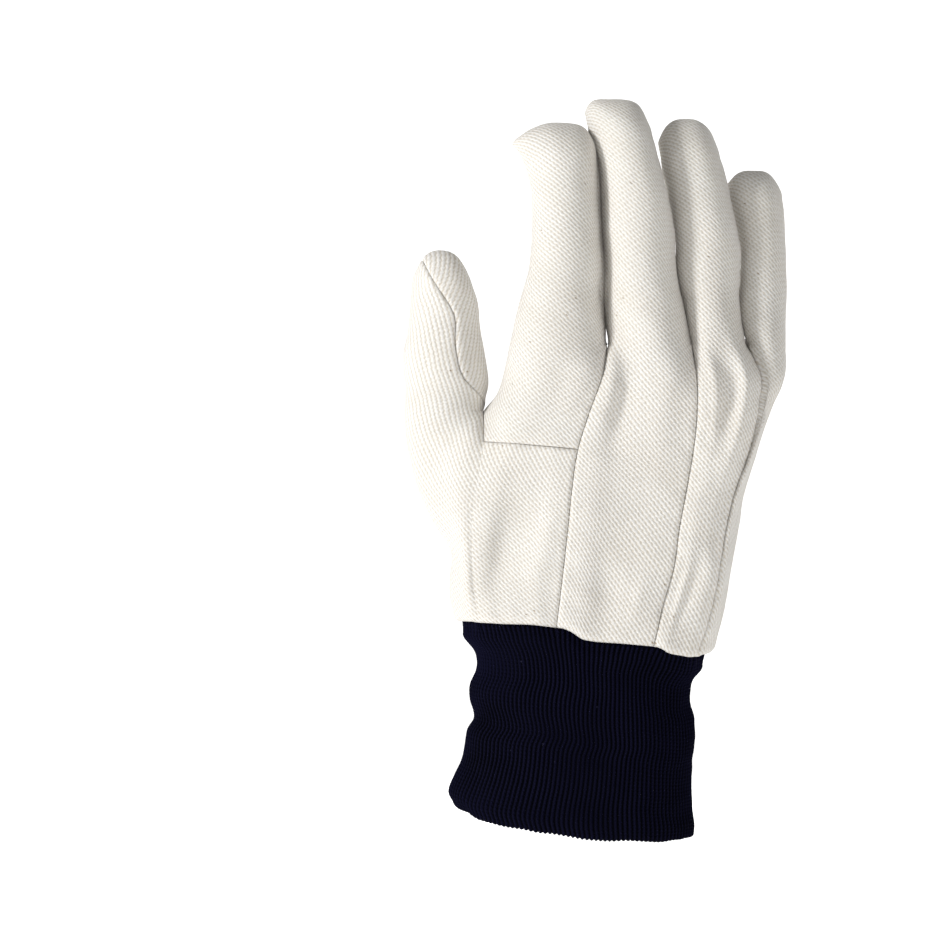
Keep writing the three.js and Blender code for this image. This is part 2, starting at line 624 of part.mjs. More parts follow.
// Heights of the mesh rows of a strip and its digit.
function heightsOf(column) {
  const heights = [];
  for (let i = 0; i < LOW_ROWS; i += 1) {
    heights.push(CROSS_SEAM * i / LOW_ROWS);
  }
  for (let i = 0; i < MID_ROWS; i += 1) {
    heights.push(mix(CROSS_SEAM, THUMB_CROTCH, i / MID_ROWS));
  }
  if (column !== THUMB) {
    for (let i = 0; i < WEB_ROWS; i += 1) {
      heights.push(mix(THUMB_CROTCH, HAND_LENGTH, i / WEB_ROWS));
    }
  }
  const { root, length } = DIGITS[column];
  heights.push(root);
  for (const share of TIP_ROWS) {
    heights.push(root + share * length);
  }
  return heights;
}

// A patch is a stretch of one strip on one side. pull tells how far the cloth
// stays back from each seam: left, right, bottom and top, in millimetres, or a
// function of the height.
function patchPoints(patch) {
  const { column, side } = patch;
  const heights = heightsOf(column).filter((h) => h > patch.from - 0.01 && h < patch.to + 0.01);
  const steps = 2 * QUARTER_STEPS;
  const pull = { left: 0, right: 0, bottom: 0, top: 0, ...patch.pull };
  const pullAt = (key, h) => (typeof pull[key] === 'function' ? pull[key](h) : pull[key]);
  const rows = [];
  heights.forEach((height, i) => {
    const row = [];
    for (let j = 0; j <= steps; j += 1) {
      const across = j / steps;
      const point = skin(column, side, height, across);
      const normal = outward(column, side, height, across);
      const shift = (amount, other) => {
        if (amount > 0) {
          const way = other.sub(point);
          if (way.length() > 1e-6) {
            point.addScaledVector(way.normalize(), amount);
          }
        }
      };
      if (j === 0) {
        shift(pullAt('left', height), skin(column, side, height, 0.03));
      }
      if (j === steps) {
        shift(pullAt('right', height), skin(column, side, height, 0.97));
      }
      if (i === 0) {
        shift(pullAt('bottom', height), skin(column, side, height + 0.5, across));
      }
      if (i === heights.length - 1) {
        shift(pullAt('top', height), skin(column, side, height - 0.2, across));
      }
      row.push({ point, normal });
    }
    rows.push(row);
  });
  return rows;
}

// Sews patches into one open sheet and gives it its thickness: an outer face,
// an inner face and the cut edges between them.
function thicken(sheet, wall) {
  const points = [];
  const normals = [];
  const index = new Map();
  const faces = [];
  const vertex = ({ point, normal }) => {
    const key = point.toArray().map((v) => Math.round(v * 2e3)).join();
    if (!index.has(key)) {
      index.set(key, points.length);
      points.push(point);
      normals.push(new THREE.Vector3());
    }
    const id = index.get(key);
    normals[id].add(normal);
    return id;
  };
  const face = (a, b, c) => {
    if (a !== b && b !== c && c !== a) {
      faces.push([a, b, c]);
    }
  };
  for (const patch of sheet) {
    const ids = patch.rows.map((row) => row.map(vertex));
    for (let i = 0; i + 1 < ids.length; i += 1) {
      for (let j = 0; j + 1 < ids[i].length; j += 1) {
        const a = ids[i][j];
        const b = ids[i][j + 1];
        const c = ids[i + 1][j + 1];
        const d = ids[i + 1][j];
        if (patch.side === BACK) {
          face(a, b, c);
          face(a, c, d);
        } else {
          face(a, c, b);
          face(a, d, c);
        }
      }
    }
  }
  const used = new Map();
  for (const [a, b, c] of faces) {
    for (const [p, q] of [[a, b], [b, c], [c, a]]) {
      used.set(`${p},${q}`, [p, q]);
    }
  }
  const count = points.length;
  const position = [];
  points.forEach((p) => position.push(p.x, p.y, p.z));
  points.forEach((p, i) => {
    const inner = p.clone().addScaledVector(normals[i].normalize(), -wall);
    position.push(inner.x, inner.y, inner.z);
  });
  const triangles = [];
  for (const [a, b, c] of faces) {
    triangles.push(a, b, c);
    triangles.push(a + count, c + count, b + count);
  }
  for (const [p, q] of used.values()) {
    if (!used.has(`${q},${p}`)) {
      triangles.push(p, p + count, q + count);
      triangles.push(p, q + count, q);
    }
  }
  const geometry = new THREE.BufferGeometry();
  geometry.setAttribute('position', new THREE.Float32BufferAttribute(position, 3));
  geometry.setIndex(triangles);
  return mergeVertices(geometry, 1e-5);
}

function meshOf(name, geometry, finish) {
  const mesh = new THREE.Mesh(geometry, new THREE.MeshStandardMaterial(finish));
  mesh.name = name;
  return mesh;
}

function panel(name, patches) {
  const sheet = patches.map((patch) => ({ side: patch.side, rows: patchPoints(patch) }));
  return meshOf(name, thicken(sheet, CLOTH), naturalDrill);
}

const tip = (column) => topOf(column);
const nearThumbCrotch = (h) => Math.abs(h - THUMB_CROTCH) < THUMB_WEB / 2;
const aboveCrotch = (h) => (h > HAND_LENGTH - 0.01 ? SEAM_GAP : SEAM_GAP / 2);

const palmPanel = panel('palm_panel', [
  { column: INDEX, side: PALM, from: 0, to: tip(INDEX) },
  { column: MIDDLE, side: PALM, from: 0, to: tip(MIDDLE) },
  { column: RING, side: PALM, from: 0, to: tip(RING) },
  { column: LITTLE, side: PALM, from: 0, to: tip(LITTLE) },
  { column: INDEX, side: BACK, from: CROSS_SEAM, to: tip(INDEX) },
  { column: LITTLE, side: BACK, from: 0, to: tip(LITTLE) },
]);

const middleBackPanel = panel('middle_back_panel', [
  { column: MIDDLE, side: BACK, from: 0, to: tip(MIDDLE),
    pull: { left: SEAM_GAP, right: aboveCrotch, top: SEAM_GAP } },
]);

const ringBackPanel = panel('ring_back_panel', [
  { column: RING, side: BACK, from: 0, to: tip(RING),
    pull: { left: aboveCrotch, right: SEAM_GAP, top: SEAM_GAP } },
]);

const thumbBackPanel = panel('thumb_back_panel', [
  { column: INDEX, side: BACK, from: 0, to: CROSS_SEAM, pull: { top: SEAM_GAP } },
  { column: THUMB, side: BACK, from: 0, to: tip(THUMB),
    pull: {
      left: SEAM_GAP / 2,
      right: (h) => (h > CROSS_SEAM - 0.01 ? SEAM_GAP : 0),
      top: 0,
    } },
]);

const thumbInnerPanel = panel('thumb_inner_panel', [
  { column: THUMB, side: PALM, from: 0, to: tip(THUMB),
    pull: {
      left: SEAM_GAP / 2,
      right: (h) => (nearThumbCrotch(h) ? CROTCH_EASE : SEAM_GAP),
      top: 0,
    } },
]);

// The places round the mouth of the cloth, over the back and then the palm.
function mouthPlaces() {
  const places = [];
  const steps = 2 * QUARTER_STEPS;
  for (let k = 0; k < 5 * steps; k += 1) {
    places.push({ side: BACK, column: Math.floor(k / steps), across: (k % steps) / steps });
  }
  for (let k = 5 * steps; k > 0; k -= 1) {
    const column = Math.ceil(k / steps) - 1;
    places.push({ side: PALM, column, across: k / steps - column });
  }
  return places;
}

// A point that lies inset from the cloth's outer face, a share of the way up
// its lowest row of faces.
function mouthPoint({ column, side, across }, share, inset) {
  const at = (height) =>
    skin(column, side, height, across).addScaledVector(outward(column, side, height, across), -inset);
  return at(0).lerp(at(CROSS_SEAM / LOW_ROWS), share);
}

// The cuff: a knitted tube whose top reaches up inside the cloth and whose hem
// is the fold of its two layers.
function cuffGeometry() {
  const places = mouthPlaces();
  const edge = places.map((place) => mouthPoint(place, 0, 0));
  const low = Math.min(...edge.map((p) => p.x));
  const high = Math.max(...edge.map((p) => p.x));
  const under = CLOTH + TUCK_GAP;
  const tuckShare = TUCK / (CROSS_SEAM / LOW_ROWS);
  const tuckAt = (share, inset) => places.map((place) => mouthPoint(place, share, inset));
  const ringAt = (row, inset) => places.map((place, i) => {
    const there = placeOn(place.column, place.side, 0, place.across);
    const key = there.side === BACK ? 'back' : 'palm';
    const reach = clamp(2 * (edge[i].x - low) / (high - low) - 1, -1, 1);
    const middle = (row.left + row.right) / 2 * CUFF_WIDTH;
    const half = (row.right - row.left) / 2 * CUFF_WIDTH - inset;
    const bulge = Math.sqrt(1 - Math.abs(reach) ** 2.3);
    const depth = row[key] * CUFF_DEPTH - inset * there.side;
    const across = place.column + there.across;
    const hem = HEM_RISE * through(rowsOf(HEM_SAG, 'across', key), across);
    return new THREE.Vector3(middle + half * reach, depth * bulge, mix(hem, edge[i].z, row.at));
  });
  const downwards = [...CUFF_ROWS].reverse();
  const outside = [tuckAt(tuckShare, under), tuckAt(0, under)];
  const inside = [tuckAt(tuckShare, under + KNIT), tuckAt(0, under + KNIT)];
  for (const row of downwards) {
    outside.push(ringAt(row, 0));
    inside.push(ringAt(row, KNIT));
  }
  const fold = ringAt(CUFF_ROWS[0], KNIT / 2).map((p) => p.setZ(p.z - KNIT / 4));
  const loop = [...outside, fold, ...inside.reverse()];
  const position = [];
  const triangles = [];
  const count = places.length;
  for (const ring of loop) {
    ring.forEach((p) => position.push(p.x, p.y, p.z));
  }
  for (let i = 0; i < loop.length; i += 1) {
    const below = ((i + 1) % loop.length) * count;
    for (let j = 0; j < count; j += 1) {
      const next = (j + 1) % count;
      triangles.push(i * count + j, below + j, below + next);
      triangles.push(i * count + j, below + next, i * count + next);
    }
  }
  const geometry = new THREE.BufferGeometry();
  geometry.setAttribute('position', new THREE.Float32BufferAttribute(position, 3));
  geometry.setIndex(triangles);
  return geometry;
}

const knitCuff = meshOf('knit_cuff', cuffGeometry(), navyKnit);

const glove = new THREE.Group();
glove.add(palmPanel, thumbBackPanel, thumbInnerPanel, middleBackPanel, ringBackPanel, knitCuff);

export default glove;
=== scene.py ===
import math
from functools import lru_cache

import bpy
import numpy as np
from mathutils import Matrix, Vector, noise


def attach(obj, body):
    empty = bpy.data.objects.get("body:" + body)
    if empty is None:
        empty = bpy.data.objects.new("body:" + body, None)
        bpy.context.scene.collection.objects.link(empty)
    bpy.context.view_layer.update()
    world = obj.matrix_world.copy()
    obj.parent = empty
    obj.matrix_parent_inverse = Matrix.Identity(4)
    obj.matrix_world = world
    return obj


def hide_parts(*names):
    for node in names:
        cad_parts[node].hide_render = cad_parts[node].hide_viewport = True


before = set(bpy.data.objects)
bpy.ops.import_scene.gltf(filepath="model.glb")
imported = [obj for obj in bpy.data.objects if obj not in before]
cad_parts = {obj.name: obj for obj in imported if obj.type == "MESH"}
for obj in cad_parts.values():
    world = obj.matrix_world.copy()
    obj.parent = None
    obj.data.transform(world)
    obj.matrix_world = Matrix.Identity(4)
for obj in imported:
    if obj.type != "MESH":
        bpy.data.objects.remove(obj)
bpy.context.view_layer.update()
bpy.ops.object.select_all(action="DESELECT")

# Form of the cloth
# The glove is cut from cotton drill and filled out by the hand in it. Every panel
# is a stretch of one skin: five strips, thumb to little finger, each with a back
# and a palm side, that run from the cuff seam over the hand to their fingertips.
# Lengths here are millimetres, shares are of the sizes named beside the tables.
MM = 0.001
CLOTH = 1.2
CUFF_HEIGHT = 66.0
CUFF_WIDTH = 84.0
CUFF_DEPTH = 46.0
MOUTH_WIDTH = 92.5
MOUTH_DEPTH = 48.0
PALM_WIDTH = 100.0
PALM_DEPTH = 40.0
HAND_LENGTH = 105.0
THUMB_CROTCH = 81.0
CROSS_SEAM = 69.0
CROSS_SLANT = 3.2
SEAM_RISE = 12.0
FINGER_GAP = 1.4
INDEX_FROM_WRIST = -3.5
THUMB_FROM_WRIST = -47.0
FINGER_WEB = 26.0
THUMB_WEB = 22.0
SLIT_GAP = -0.5
SLIT_LEAN = 0.31
CROTCH_PINCH = 1.45
SEAM_PINCH = 0.1
FOLD_DEPTH = 2.4
FOLD_WIDTH = 9.0

BACK = -1
PALM = 1
THUMB, INDEX, MIDDLE, RING, LITTLE = range(5)
ROUND = 0.5523

# One row per digit: height of its crotch, length, width, depth, share of the
# finger gap, drop of its two corners, how square they are, and its rounded end
# as a share of its depth.
DIGITS = [
    (THUMB_CROTCH, 58.5, 27.0, 26.0, 0, 9.0, 9.0, 2.6, 2.6, 0.55),
    (HAND_LENGTH, 80.0, 25.0, 24.0, 0, 7.0, 6.0, 1.8, 7.0, 0.5),
    (HAND_LENGTH, 89.0, 26.0, 25.0, 1, 5.4, 11.0, 7.0, 3.5, 0.5),
    (HAND_LENGTH, 82.0, 21.5, 23.0, 1, 9.0, 9.0, 3.0, 3.0, 0.55),
    (HAND_LENGTH, 63.5, 17.0, 20.0, 0, 7.0, 8.0, 3.0, 3.5, 0.55),
]

# Rows up each digit: share of its length, left side, right side, middle of its
# depth and half its depth, in shares of its width and depth.
DIGIT_ROWS = [
    [(0, -0.54, 0.52, 0.3, 0.5), (0.18, -0.525, 0.59, 0.34, 0.5),
     (0.4, -0.555, 0.555, 0.38, 0.5), (0.6, -0.485, 0.49, 0.4, 0.48),
     (0.8, -0.445, 0.45, 0.38, 0.46), (1, -0.41, 0.33, 0.34, 0.44)],
    [(0, -0.812, 0.61, -0.04, 0.58), (0.22, -0.65, 0.5, 0, 0.54),
     (0.37, -0.525, 0.515, 0.03, 0.52), (0.52, -0.49, 0.49, 0.08, 0.51),
     (0.72, -0.49, 0.46, 0.18, 0.5), (0.84, -0.55, 0.465, 0.26, 0.49),
     (0.95, -0.67, 0.44, 0.34, 0.48), (1, -0.79, 0.37, 0.38, 0.48)],
    [(0, -0.45, 0.71, -0.05, 0.6), (0.2, -0.44, 0.58, 0.02, 0.54),
     (0.35, -0.445, 0.505, 0.07, 0.52), (0.52, -0.48, 0.48, 0.14, 0.5),
     (0.69, -0.505, 0.39, 0.24, 0.5), (0.85, -0.605, 0.275, 0.37, 0.49),
     (0.95, -0.72, 0.19, 0.46, 0.48), (1, -0.775, 0.16, 0.5, 0.48)],
    [(0, -0.3, 0.62, 0.08, 0.62), (0.2, -0.44, 0.5, 0.24, 0.53),
     (0.36, -0.55, 0.523, 0.33, 0.5), (0.5, -0.58, 0.514, 0.42, 0.49),
     (0.64, -0.63, 0.421, 0.53, 0.49), (0.82, -0.755, 0.305, 0.7, 0.48),
     (0.93, -0.83, 0.19, 0.81, 0.47), (1, -0.87, 0.12, 0.87, 0.47)],
    [(0, -0.34, 0.5, 0.42, 0.62), (0.2, -0.56, 0.518, 0.6, 0.53),
     (0.4, -0.5, 0.524, 0.74, 0.5), (0.6, -0.49, 0.518, 0.9, 0.49),
     (0.8, -0.6, 0.482, 1.08, 0.48), (0.93, -0.74, 0.441, 1.2, 0.47),
     (1, -0.8, 0.42, 1.28, 0.47)],
]
INDEX_ROOT = [(0.26, -0.985), (0.52, -0.905)]

# Lines between the strips below the crotches: share of the height to the
# crotch, x on the back and on the palm side in shares of the palm width.
LINES = [
    [(0, -0.37, -0.314), (0.17, -0.365, -0.29), (0.34, -0.372, -0.281),
     (0.5, -0.37, -0.286), (0.66, -0.352, -0.295), (0.85, -0.33, -0.31)],
    [(0, -0.074, -0.086), (0.13, -0.053, -0.06), (0.26, -0.038, -0.04),
     (0.38, -0.025, -0.01), (0.51, -0.012, 0.02), (0.654, 0.008, 0.05),
     (0.77, 0.048, 0.08), (0.89, 0.095, 0.105)],
    [(0, 0.304, 0.26), (0.13, 0.315, 0.27), (0.26, 0.354, 0.3),
     (0.38, 0.372, 0.33), (0.51, 0.398, 0.36), (0.654, 0.423, 0.385),
     (0.77, 0.437, 0.405), (0.89, 0.436, 0.415)],
    [(0, 0.475, 0.44), (0.13, 0.487, 0.44), (0.26, 0.52, 0.47),
     (0.38, 0.54, 0.5), (0.51, 0.572, 0.53), (0.654, 0.628, 0.57),
     (0.77, 0.663, 0.6), (0.89, 0.675, 0.615)],
]

# Outer sides of the hand: share of the height to the crotch, x in shares of the
# palm width, depth in shares of the palm depth.
THUMB_SIDE = [(0, -0.467, 0.02), (0.17, -0.454, 0.04), (0.34, -0.452, 0.07),
              (0.49, -0.52, 0.11), (0.66, -0.57, 0.15), (0.85, -0.607, 0.18)]
LITTLE_SIDE = [(0, 0.533, 0.02), (0.13, 0.538, 0.05), (0.26, 0.565, 0.08),
               (0.38, 0.59, 0.1), (0.51, 0.613, 0.12), (0.654, 0.66, 0.15),
               (0.77, 0.706, 0.17), (0.89, 0.758, 0.19)]

# Height of the five strips on the back and on the palm side, shares of the palm
# depth, up the hand.
CROWN_AT = [0, 0.25, 0.5, 0.72, 0.88]
CROWNS = {
    BACK: [[-0.24, -0.42, -0.45, -0.4, -0.2], [-0.28, -0.46, -0.5, -0.45, -0.27],
           [-0.2, -0.44, -0.48, -0.42, -0.25], [-0.13, -0.42, -0.475, -0.39, -0.2],
           [0, -0.4, -0.46, -0.36, -0.14]],
    PALM: [[0.26, 0.42, 0.46, 0.42, 0.24], [0.42, 0.55, 0.5, 0.47, 0.42],
           [0.52, 0.57, 0.42, 0.42, 0.5], [0.54, 0.46, 0.37, 0.41, 0.54],
           [0, 0.38, 0.36, 0.41, 0.54]],
}

# Turn of the thumb's seams round it, quarter turns at its left and right.
THUMB_TURN = [(0, 0.1, 0), (1, 0.35, 0), (1.2, 0.55, 0.7), (1.4, 0.7, 0.82),
              (1.6, 0.8, 0.83), (1.8, 0.75, 1.2), (2, 0.5, 1.5)]

# Height of the cuff seam round the glove on the back and the palm side.
SEAM_WAVE = [(0, 0.46, 0.46), (1, 0.43, 0.46), (2, 0.3, 0.36), (2.3, -0.06, 0.3),
             (3, -0.26, 0.08), (3.5, -0.52, -0.1), (4, -0.62, -0.3), (5, -0.5, -0.5)]

# Folds of the worn cloth: side, start and end as (strip, height), width and
# depth; a negative depth is a ridge. The last twelve rows are fine creases.
FOLDS = [
    (BACK, (4.15, 1.0), (3.8, 0.35), 0.5, 1),
    (BACK, (3.5, 1.05), (3.45, 0.75), 0.4, 0.6),
    (BACK, (3.75, 0.95), (3.6, 0.6), 0.4, -0.6),
    (BACK, (2.35, 1.12), (2.4, 0.6), 0.9, 0.5),
    (BACK, (1.75, 0.6), (1.3, 0.05), 0.9, 0.8),
    (BACK, (0.9, 0.62), (0.85, 0.25), 0.9, -0.4),
    (BACK, (3.15, 0.25), (3.05, 0.02), 0.35, 0.5),
    (BACK, (1.2, 0.3), (1.15, 0.02), 0.5, 0.3),
    (PALM, (3, 1.02), (1.9, 0.72), 0.9, 1),
    (PALM, (1.9, 0.72), (1.1, 0.7), 0.8, 0.9),
    (PALM, (4, 1.02), (3.9, 0.5), 0.6, 0.8),
    (PALM, (4.8, 1.04), (4.05, 0.99), 0.45, 0.9),
    (PALM, (3.6, 0.5), (3.3, 0.08), 0.7, 0.5),
    (PALM, (2.6, 0.6), (2.3, 0.1), 0.8, 0.4),
    (PALM, (1.9, 1.06), (1.35, 1.0), 0.5, 0.6),
    (BACK, (2.22, 1.14), (2.34, 0.66), 0.42, 0.9),
    (BACK, (2.08, 1.02), (2.12, 0.72), 0.26, -0.45),
    (BACK, (2.62, 1.08), (2.6, 0.55), 0.55, -0.6),
    (BACK, (3.3, 1.06), (3.33, 0.7), 0.26, -0.4),
    (BACK, (3.6, 1.08), (3.52, 0.66), 0.3, 0.4),
    (BACK, (1.5, 0.42), (1.2, 0.06), 0.55, 0.8),
    (BACK, (1.85, 0.4), (1.55, 0.06), 0.5, -0.5),
    (BACK, (2.72, 0.9), (2.72, 0.12), 1.5, 0.9),
    (BACK, (2.1, 0.6), (2.1, 0.1), 0.9, -0.5),
    (BACK, (2.45, 0.22), (2.5, 0.03), 0.3, 0.5),
    (BACK, (2.75, 0.2), (2.72, 0.03), 0.25, -0.4),
    (BACK, (3.5, 0.3), (3.35, 0.02), 0.3, 0.5),
]


def mix(a, b, share):
    return a + (b - a) * share


def smooth(value, low, high):
    t = np.clip((value - low) / (high - low), 0, 1)
    return t * t * (3 - 2 * t)


def through(places, values, place):
    """A smooth curve through the values at the places."""
    xs = np.asarray(places, dtype=float)
    ys = np.asarray(values, dtype=float)
    slope = np.empty(len(xs))
    slope[0] = (ys[1] - ys[0]) / (xs[1] - xs[0])
    slope[-1] = (ys[-1] - ys[-2]) / (xs[-1] - xs[-2])
    slope[1:-1] = (ys[2:] - ys[:-2]) / (xs[2:] - xs[:-2])
    place = np.clip(place, xs[0], xs[-1])
    i = np.clip(np.searchsorted(xs, place, side="right") - 1, 0, len(xs) - 2)
    step = xs[i + 1] - xs[i]
    t = (place - xs[i]) / step
    rise = ys[i + 1] - ys[i]
    m0 = slope[i] * step
    m1 = slope[i + 1] * step
    return ys[i] + t * (m0 + t * (3 * rise - 2 * m0 - m1 + t * (m0 + m1 - 2 * rise)))


AXES = [THUMB_FROM_WRIST, INDEX_FROM_WRIST]
for k in (MIDDLE, RING, LITTLE):
    half_widths = (DIGITS[k - 1][2] + DIGITS[k][2]) / 2
    AXES.append(AXES[-1] + half_widths + DIGITS[k][4] * FINGER_GAP)


def top_of(column):
    return DIGITS[column][0] + DIGITS[column][1]


def share_up(column, height):
    return (height - DIGITS[column][0]) / DIGITS[column][1]


def row_value(column, key, share):
    rows = DIGIT_ROWS[column]
    return float(through([r[0] for r in rows], [r[key] for r in rows], share))


def side_x(column, key, share):
    return AXES[column] + DIGITS[column][2] * row_value(column, key, share)


def middle_y(column, share):
    return DIGITS[column][3] * row_value(column, 3, share)


CROTCHES = {}
for k in range(1, 5):
    before = (side_x(k - 1, 2, 0), middle_y(k - 1, 0))
    after = (side_x(0, 2, 0), middle_y(0, 0)) if k == 1 else (side_x(k, 1, 0), middle_y(k, 0))
    CROTCHES[k] = (DIGITS[k - 1][0], (before[0] + after[0]) / 2, (before[1] + after[1]) / 2,
                   THUMB_WEB if k == 1 else FINGER_WEB)


@lru_cache(maxsize=None)
def crown_y(column, side, height):
    root, length, _, depth = DIGITS[column][:4]
    places = []
    values = []
    for at, row in zip(CROWN_AT, CROWNS[side]):
        if at * HAND_LENGTH < root - 1:
            places.append(at * HAND_LENGTH)
            values.append(row[column] * (MOUTH_DEPTH if at == 0 else PALM_DEPTH))
    for at, _, _, mid, half in DIGIT_ROWS[column]:
        places.append(root + at * length)
        values.append(depth * (mid + side * half))
    return float(through(places, values, height))


def wide(at):
    return MOUTH_WIDTH if at == 0 else PALM_WIDTH


@lru_cache(maxsize=None)
def edge_at(line, side, height, column):
    """x, y and openness of a line that bounds a strip, as that strip sees it."""
    crotch = CROTCHES.get(line)
    share = share_up(column, height)
    root = DIGITS[column][0]
    if crotch and height <= crotch[0]:
        rows = LINES[line - 1]
        key = 1 if side == BACK else 2
        places = [r[0] * crotch[0] for r in rows] + [crotch[0]]
        values = [r[key] * wide(r[0]) for r in rows] + [crotch[1]]
        q = min(max((crotch[0] - height) / crotch[3], 0), 1)
        opened = math.sqrt(1 - (1 - q) ** 2)
        ease = q * q * (3 - 2 * q)
        chord = (crown_y(line - 1, side, height) + crown_y(line, side, height)) / 2
        return float(through(places, values, height)), mix(crotch[2], chord, opened), opened, ease
    if line in (0, 5) and share < 0:
        rows = THUMB_SIDE if line == 0 else LITTLE_SIDE
        places = [r[0] * root for r in rows] + [root]
        xs = [r[1] * wide(r[0]) for r in rows] + [side_x(column, 1 if line == 0 else 2, 0)]
        ys = [r[2] * PALM_DEPTH for r in rows] + [middle_y(column, 0)]
        return float(through(places, xs, height)), float(through(places, ys, height)), 0, 0
    if line == 1 and column == INDEX and share < 0:
        span = HAND_LENGTH - THUMB_CROTCH
        places = [THUMB_CROTCH] + [THUMB_CROTCH + r[0] * span for r in INDEX_ROOT] + [HAND_LENGTH]
        xs = [AXES[INDEX] + r[1] * DIGITS[INDEX][2] for r in INDEX_ROOT]
        xs = [CROTCHES[1][1]] + xs + [side_x(INDEX, 1, 0)]
        up = (height - THUMB_CROTCH) / span
        return float(through(places, xs, height)), mix(CROTCHES[1][2], middle_y(INDEX, 0), up), 0, 0
    left = line == column
    other = crotch if not left or column not in (THUMB, INDEX) else None
    fade = min(max(1 - share / 0.2, 0), 1)
    key = 1 if left else 2
    snap = (other[1] - side_x(column, key, 0)) * fade if other else 0
    drift = (other[2] - middle_y(column, 0)) * fade if other else 0
    return side_x(column, key, share) + snap, middle_y(column, share) + drift, 0, 0


@lru_cache(maxsize=None)
def crown_of(column, side, height):
    left = edge_at(column, side, height, column)
    right = edge_at(column + 1, side, height, column)
    return (left[0] + right[0]) / 2, crown_y(column, side, height)


def quarter(a, b, c, d, t):
    u = 1 - t
    return a * u ** 3 + 3 * b * u * u * t + 3 * c * u * t * t + d * t ** 3


def flare_at(line, side, height):
    """Lean of the palm side that closes the slit between index and middle finger."""
    if line != MIDDLE or side == BACK:
        return 0
    slit = side_x(MIDDLE, 1, share_up(MIDDLE, height)) - side_x(INDEX, 2, share_up(INDEX, height))
    return SLIT_LEAN * math.sqrt(max(slit - SLIT_GAP, 0))


def slope_at(opened, ease, line, side, way, height):
    if opened == 0:
        return -flare_at(line, side, height), way
    before = crown_of(line - 1, side, height)
    after = crown_of(line, side, height)
    base = ease * math.atan2(after[1] - before[1], after[0] - before[0])
    turn = base + way * (CROTCH_PINCH * (1 - opened * opened) + SEAM_PINCH)
    return math.cos(turn), math.sin(turn)


def bare_row(column, side, height, across):
    """Points of one row of the skin, at the given shares across the strip."""
    root, _, _, depth, _, drop_left, drop_right, square_left, square_right, dome_share = DIGITS[column]
    lx, ly, left_open, left_ease = edge_at(column, side, height, column)
    rx, ry, right_open, right_ease = edge_at(column + 1, side, height, column)
    cx, cy = crown_of(column, side, height)
    if height > root:
        end = dome_share * depth
        q = min(max((height - top_of(column) + end) / end, 0), 1)
        cy = mix((ly + ry) / 2, cy, math.sqrt(1 - q * q))
    pick = max if column in (THUMB, LITTLE) else min
    tilt = pick(left_ease, right_ease) * math.atan2(ry - ly, rx - lx)
    crest = (math.cos(tilt), math.sin(tilt))
    out = slope_at(left_open, left_ease, column, side, side, height)
    back = slope_at(right_open, right_ease, column + 1, side, -side, height)

    def handle(way, dx, dy):
        return ROUND * (abs(way[0]) * abs(dx) + abs(way[1]) * abs(dy))

    halves = []
    for (ax, ay), (bx, by), first, last, t in (
        ((lx, ly), (cx, cy), out, crest, np.clip(across * 2, 0, 1)),
        ((cx, cy), (rx, ry), crest, back, np.clip(across * 2 - 1, 0, 1)),
    ):
        h0 = handle(first, bx - ax, by - ay)
        h1 = handle(last, bx - ax, by - ay)
        halves.append((quarter(ax, ax + first[0] * h0, bx - last[0] * h1, bx, t),
                       quarter(ay, ay + first[1] * h0, by - last[1] * h1, by, t)))
    x = np.where(across < 0.5, halves[0][0], halves[1][0])
    y = np.where(across < 0.5, halves[0][1], halves[1][1])
    z = np.full(len(across), CUFF_HEIGHT + height)
    if height < CROSS_SEAM:
        key = 1 if side == BACK else 2
        wave = through([r[0] for r in SEAM_WAVE], [r[key] for r in SEAM_WAVE], column + across)
        z += SEAM_RISE * wave * (1 - height / CROSS_SEAM)
    slant = np.clip(x / PALM_WIDTH + 0.17, -0.18, 0.18) / 0.36
    z -= CROSS_SLANT * slant * math.exp(-4 * ((height - CROSS_SEAM) / THUMB_WEB) ** 2)
    if height > root:
        reach = (x - cx) / (rx - lx) * 2
        drop = np.where(reach < 0, drop_left, drop_right)
        square = np.where(reach < 0, square_left, square_right)
        z -= share_up(column, height) * drop * np.clip(np.abs(reach), 0, 1) ** square
    return np.stack([x, y, z], axis=1)


def thumb_place(side, height, across):
    """Side and share across of a place between the thumb's turned seams."""
    at = height / THUMB_CROTCH if height < THUMB_CROTCH else 1 + share_up(THUMB, height)
    turns = [float(through([r[0] for r in THUMB_TURN], [r[k] for r in THUMB_TURN], at)) for k in (1, 2)]
    start = 2 - turns[0]
    q = mix(start, -turns[1], across) if side == PALM else mix(start, 4 - turns[1], across)
    whole = np.where((side == BACK) & (q >= 4), 4, np.mod(q + 4, 4))
    on_palm = whole < 2
    return on_palm, np.where(on_palm, 1 - whole / 2, (whole - 2) / 2)


def fold_depth(column, side, height, across):
    """How deep the folds are at places of one row."""
    root = DIGITS[column][0]
    at = height / HAND_LENGTH if height < root else 1 + share_up(column, height)
    depth = np.zeros(len(across))
    for fold_side, start, end, width, deep in FOLDS:
        if fold_side != side:
            continue
        run_u = (end[0] - start[0]) * PALM_WIDTH / 4
        run_v = (end[1] - start[1]) * HAND_LENGTH
        here_u = (column + across - start[0]) * PALM_WIDTH / 4
        here_v = (at - start[1]) * HAND_LENGTH
        near = np.clip((here_u * run_u + here_v * run_v) / (run_u ** 2 + run_v ** 2), 0, 1)
        off = ((here_u - near * run_u) ** 2 + (here_v - near * run_v) ** 2) / (width * FOLD_WIDTH) ** 2
        depth += deep * FOLD_DEPTH * np.exp(-off) * np.sin(math.pi * mix(0.15, 0.85, near))
    return depth * min(max(height / CROSS_SEAM * 4, 0), 1)


